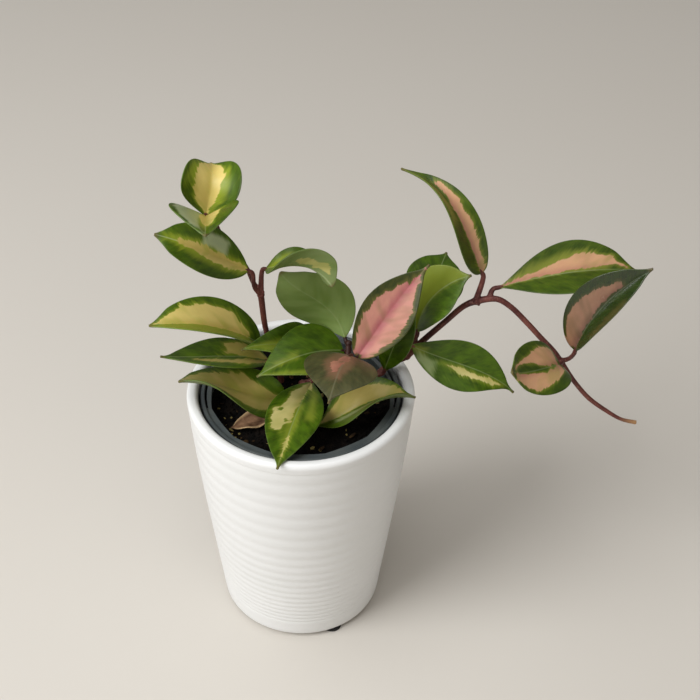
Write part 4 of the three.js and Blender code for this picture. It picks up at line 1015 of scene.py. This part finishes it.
def strewn(name, emitter, material, density, low, high, flat, seed, subdivisions):
    """Bits strewn over the soil by Geometry Nodes, as one plain mesh. Sizes in millimetres."""
    tree = bpy.data.node_groups.new(name + "_strewing", "GeometryNodeTree")
    sockets = {}
    tree.interface.new_socket("Geometry", in_out="INPUT", socket_type="NodeSocketGeometry")
    for label in ("Density", "Smallest", "Largest", "Flatness"):
        socket = tree.interface.new_socket(label, in_out="INPUT", socket_type="NodeSocketFloat")
        sockets[label] = socket.identifier
    tree.interface.new_socket("Geometry", in_out="OUTPUT", socket_type="NodeSocketGeometry")
    inputs = add_node(tree, "NodeGroupInput").outputs
    spread = add_node(tree, "GeometryNodeDistributePointsOnFaces", {
        "Mesh": inputs["Geometry"], "Density": inputs["Density"], "Seed": seed})
    bit = add_node(tree, "GeometryNodeMeshIcoSphere", {"Radius": 1.0, "Subdivisions": subdivisions})
    lump = add_node(tree, "ShaderNodeTexNoise", {"Scale": 1.3, "Detail": 2.0})
    outward = add_node(tree, "GeometryNodeInputNormal")
    push = add_node(tree, "ShaderNodeVectorMath", {0: outward.outputs[0], "Scale": lump.outputs["Fac"]},
                    operation="SCALE")
    lumpy = add_node(tree, "GeometryNodeSetPosition", {
        "Geometry": bit.outputs["Mesh"], "Offset": push.outputs[0]})
    size = add_node(tree, "FunctionNodeRandomValue", {
        2: inputs["Smallest"], 3: inputs["Largest"], "Seed": seed}, data_type="FLOAT")
    shape = add_node(tree, "FunctionNodeRandomValue", {
        0: LEAST_SHAPE, 1: MOST_SHAPE, "Seed": seed + 1}, data_type="FLOAT_VECTOR")
    squash = add_node(tree, "ShaderNodeCombineXYZ", {0: 1.0, 1: 1.0, 2: inputs["Flatness"]})
    shape = add_node(tree, "ShaderNodeVectorMath", {0: shape.outputs[0], 1: squash.outputs[0]},
                     operation="MULTIPLY")
    scale = add_node(tree, "ShaderNodeVectorMath", {0: shape.outputs[0], "Scale": size.outputs[1]},
                     operation="SCALE")
    turn = add_node(tree, "FunctionNodeRandomValue", {
        0: LEAST_TURN, 1: MOST_TURN, "Seed": seed + 2}, data_type="FLOAT_VECTOR")
    placed = add_node(tree, "GeometryNodeInstanceOnPoints", {
        "Points": spread.outputs["Points"], "Instance": lumpy.outputs[0], "Rotation": turn.outputs[0],
        "Scale": scale.outputs[0]})
    real = add_node(tree, "GeometryNodeRealizeInstances", {0: placed.outputs[0]})
    dressed = add_node(tree, "GeometryNodeSetMaterial", {
        "Geometry": real.outputs[0], "Material": material})
    add_node(tree, "NodeGroupOutput", {"Geometry": dressed.outputs[0]})
    piece = bpy.data.objects.new(name, emitter.copy())
    bpy.context.scene.collection.objects.link(piece)
    strew = piece.modifiers.new("strew", "NODES")
    strew.node_group = tree
    values = {"Density": density, "Smallest": low * MM, "Largest": high * MM, "Flatness": flat}
    for label, value in values.items():
        strew[sockets[label]] = value
    apply_modifiers(piece)
    declare(piece, None)


def soil_patch(limit):
    """The top of the soil inside a radius, for strewing on."""
    rings = slice(2 * SOIL_SEGMENTS, (2 + SOIL_RINGS) * SOIL_SEGMENTS)
    top = soil_top_points[rings]
    keep = np.hypot(top[:, 0], top[:, 1]) < limit
    first = int(np.argmax(keep)) // SOIL_SEGMENTS
    rows = SOIL_RINGS - first
    points = top[first * SOIL_SEGMENTS:]
    points = np.concatenate([points, [points[-1], soil_top_points[-1]]])
    mesh = bpy.data.meshes.new("soil_patch")
    faces = [f for f in ring_faces(rows, SOIL_SEGMENTS) if rows * SOIL_SEGMENTS not in f]
    mesh.from_pydata(((points + (0, 0, PAD_THICK)) * MM).tolist(), [], faces)
    return mesh


STREW_RADIUS = 45.5
patch = soil_patch(STREW_RADIUS)
strewn("soil_crumbs", patch, PEAT, 380000, 0.3, 0.95, 0.9, 5, 1)
strewn("soil_grit", patch, GRIT, 9000, 0.35, 1.15, 0.8, 9, 2)
strewn("soil_bark", patch, BARK, 6000, 0.5, 1.7, 0.45, 14, 2)


# Stage: a plain pale floor, a big soft light from the left, one above and a weak one at the right.
def stage_material():
    material, tree, shader = start_material("pale_floor", {"Roughness": 0.6, "Specular IOR Level": 0.2})
    soft = noise_on_object(tree, (500, 500, 500), 2)
    tree.links.new(layered(tree, "#D2CEC7", (soft, "#CFCAC2")), shader.inputs["Base Color"])
    return material


FLOOR_HALF = 6.0
floor_mesh = bpy.data.meshes.new("floor")
corners = [(x * FLOOR_HALF, y * FLOOR_HALF, 0) for x, y in ((-1, -1), (1, -1), (1, 1), (-1, 1))]
floor_mesh.from_pydata(corners, [], [(0, 1, 2, 3)])
floor_mesh.materials.append(stage_material())
floor = bpy.data.objects.new("floor", floor_mesh)
bpy.context.scene.collection.objects.link(floor)


def soft_light(name, place, target, size, watts, colour):
    light = bpy.data.objects.new(name, bpy.data.lights.new(name, "AREA"))
    light.data.shape = "DISK"
    light.data.size = size
    light.data.energy = watts
    light.data.color = linear(colour)[:3]
    light.location = place
    light.rotation_euler = (Vector(target) - Vector(place)).to_track_quat("-Z", "Y").to_euler()
    bpy.context.scene.collection.objects.link(light)


PLANT_MIDDLE = (0.03, 0, 0.15)
soft_light("window", (-1.15, -0.7, 1.15), PLANT_MIDDLE, 1.1, 25, "#FFFFFF")
soft_light("fill", (0.7, -1.3, 0.9), PLANT_MIDDLE, 1.4, 2.5, "#FFF3E6")
soft_light("top", (-0.2, -0.2, 1.8), PLANT_MIDDLE, 1.3, 11, "#FFFFFF")
world = bpy.data.worlds.new("studio")
bpy.context.scene.world = world
world.use_nodes = True
world.node_tree.nodes["Background"].inputs["Color"].default_value = linear("#F0EBE4")
world.node_tree.nodes["Background"].inputs["Strength"].default_value = 0.3
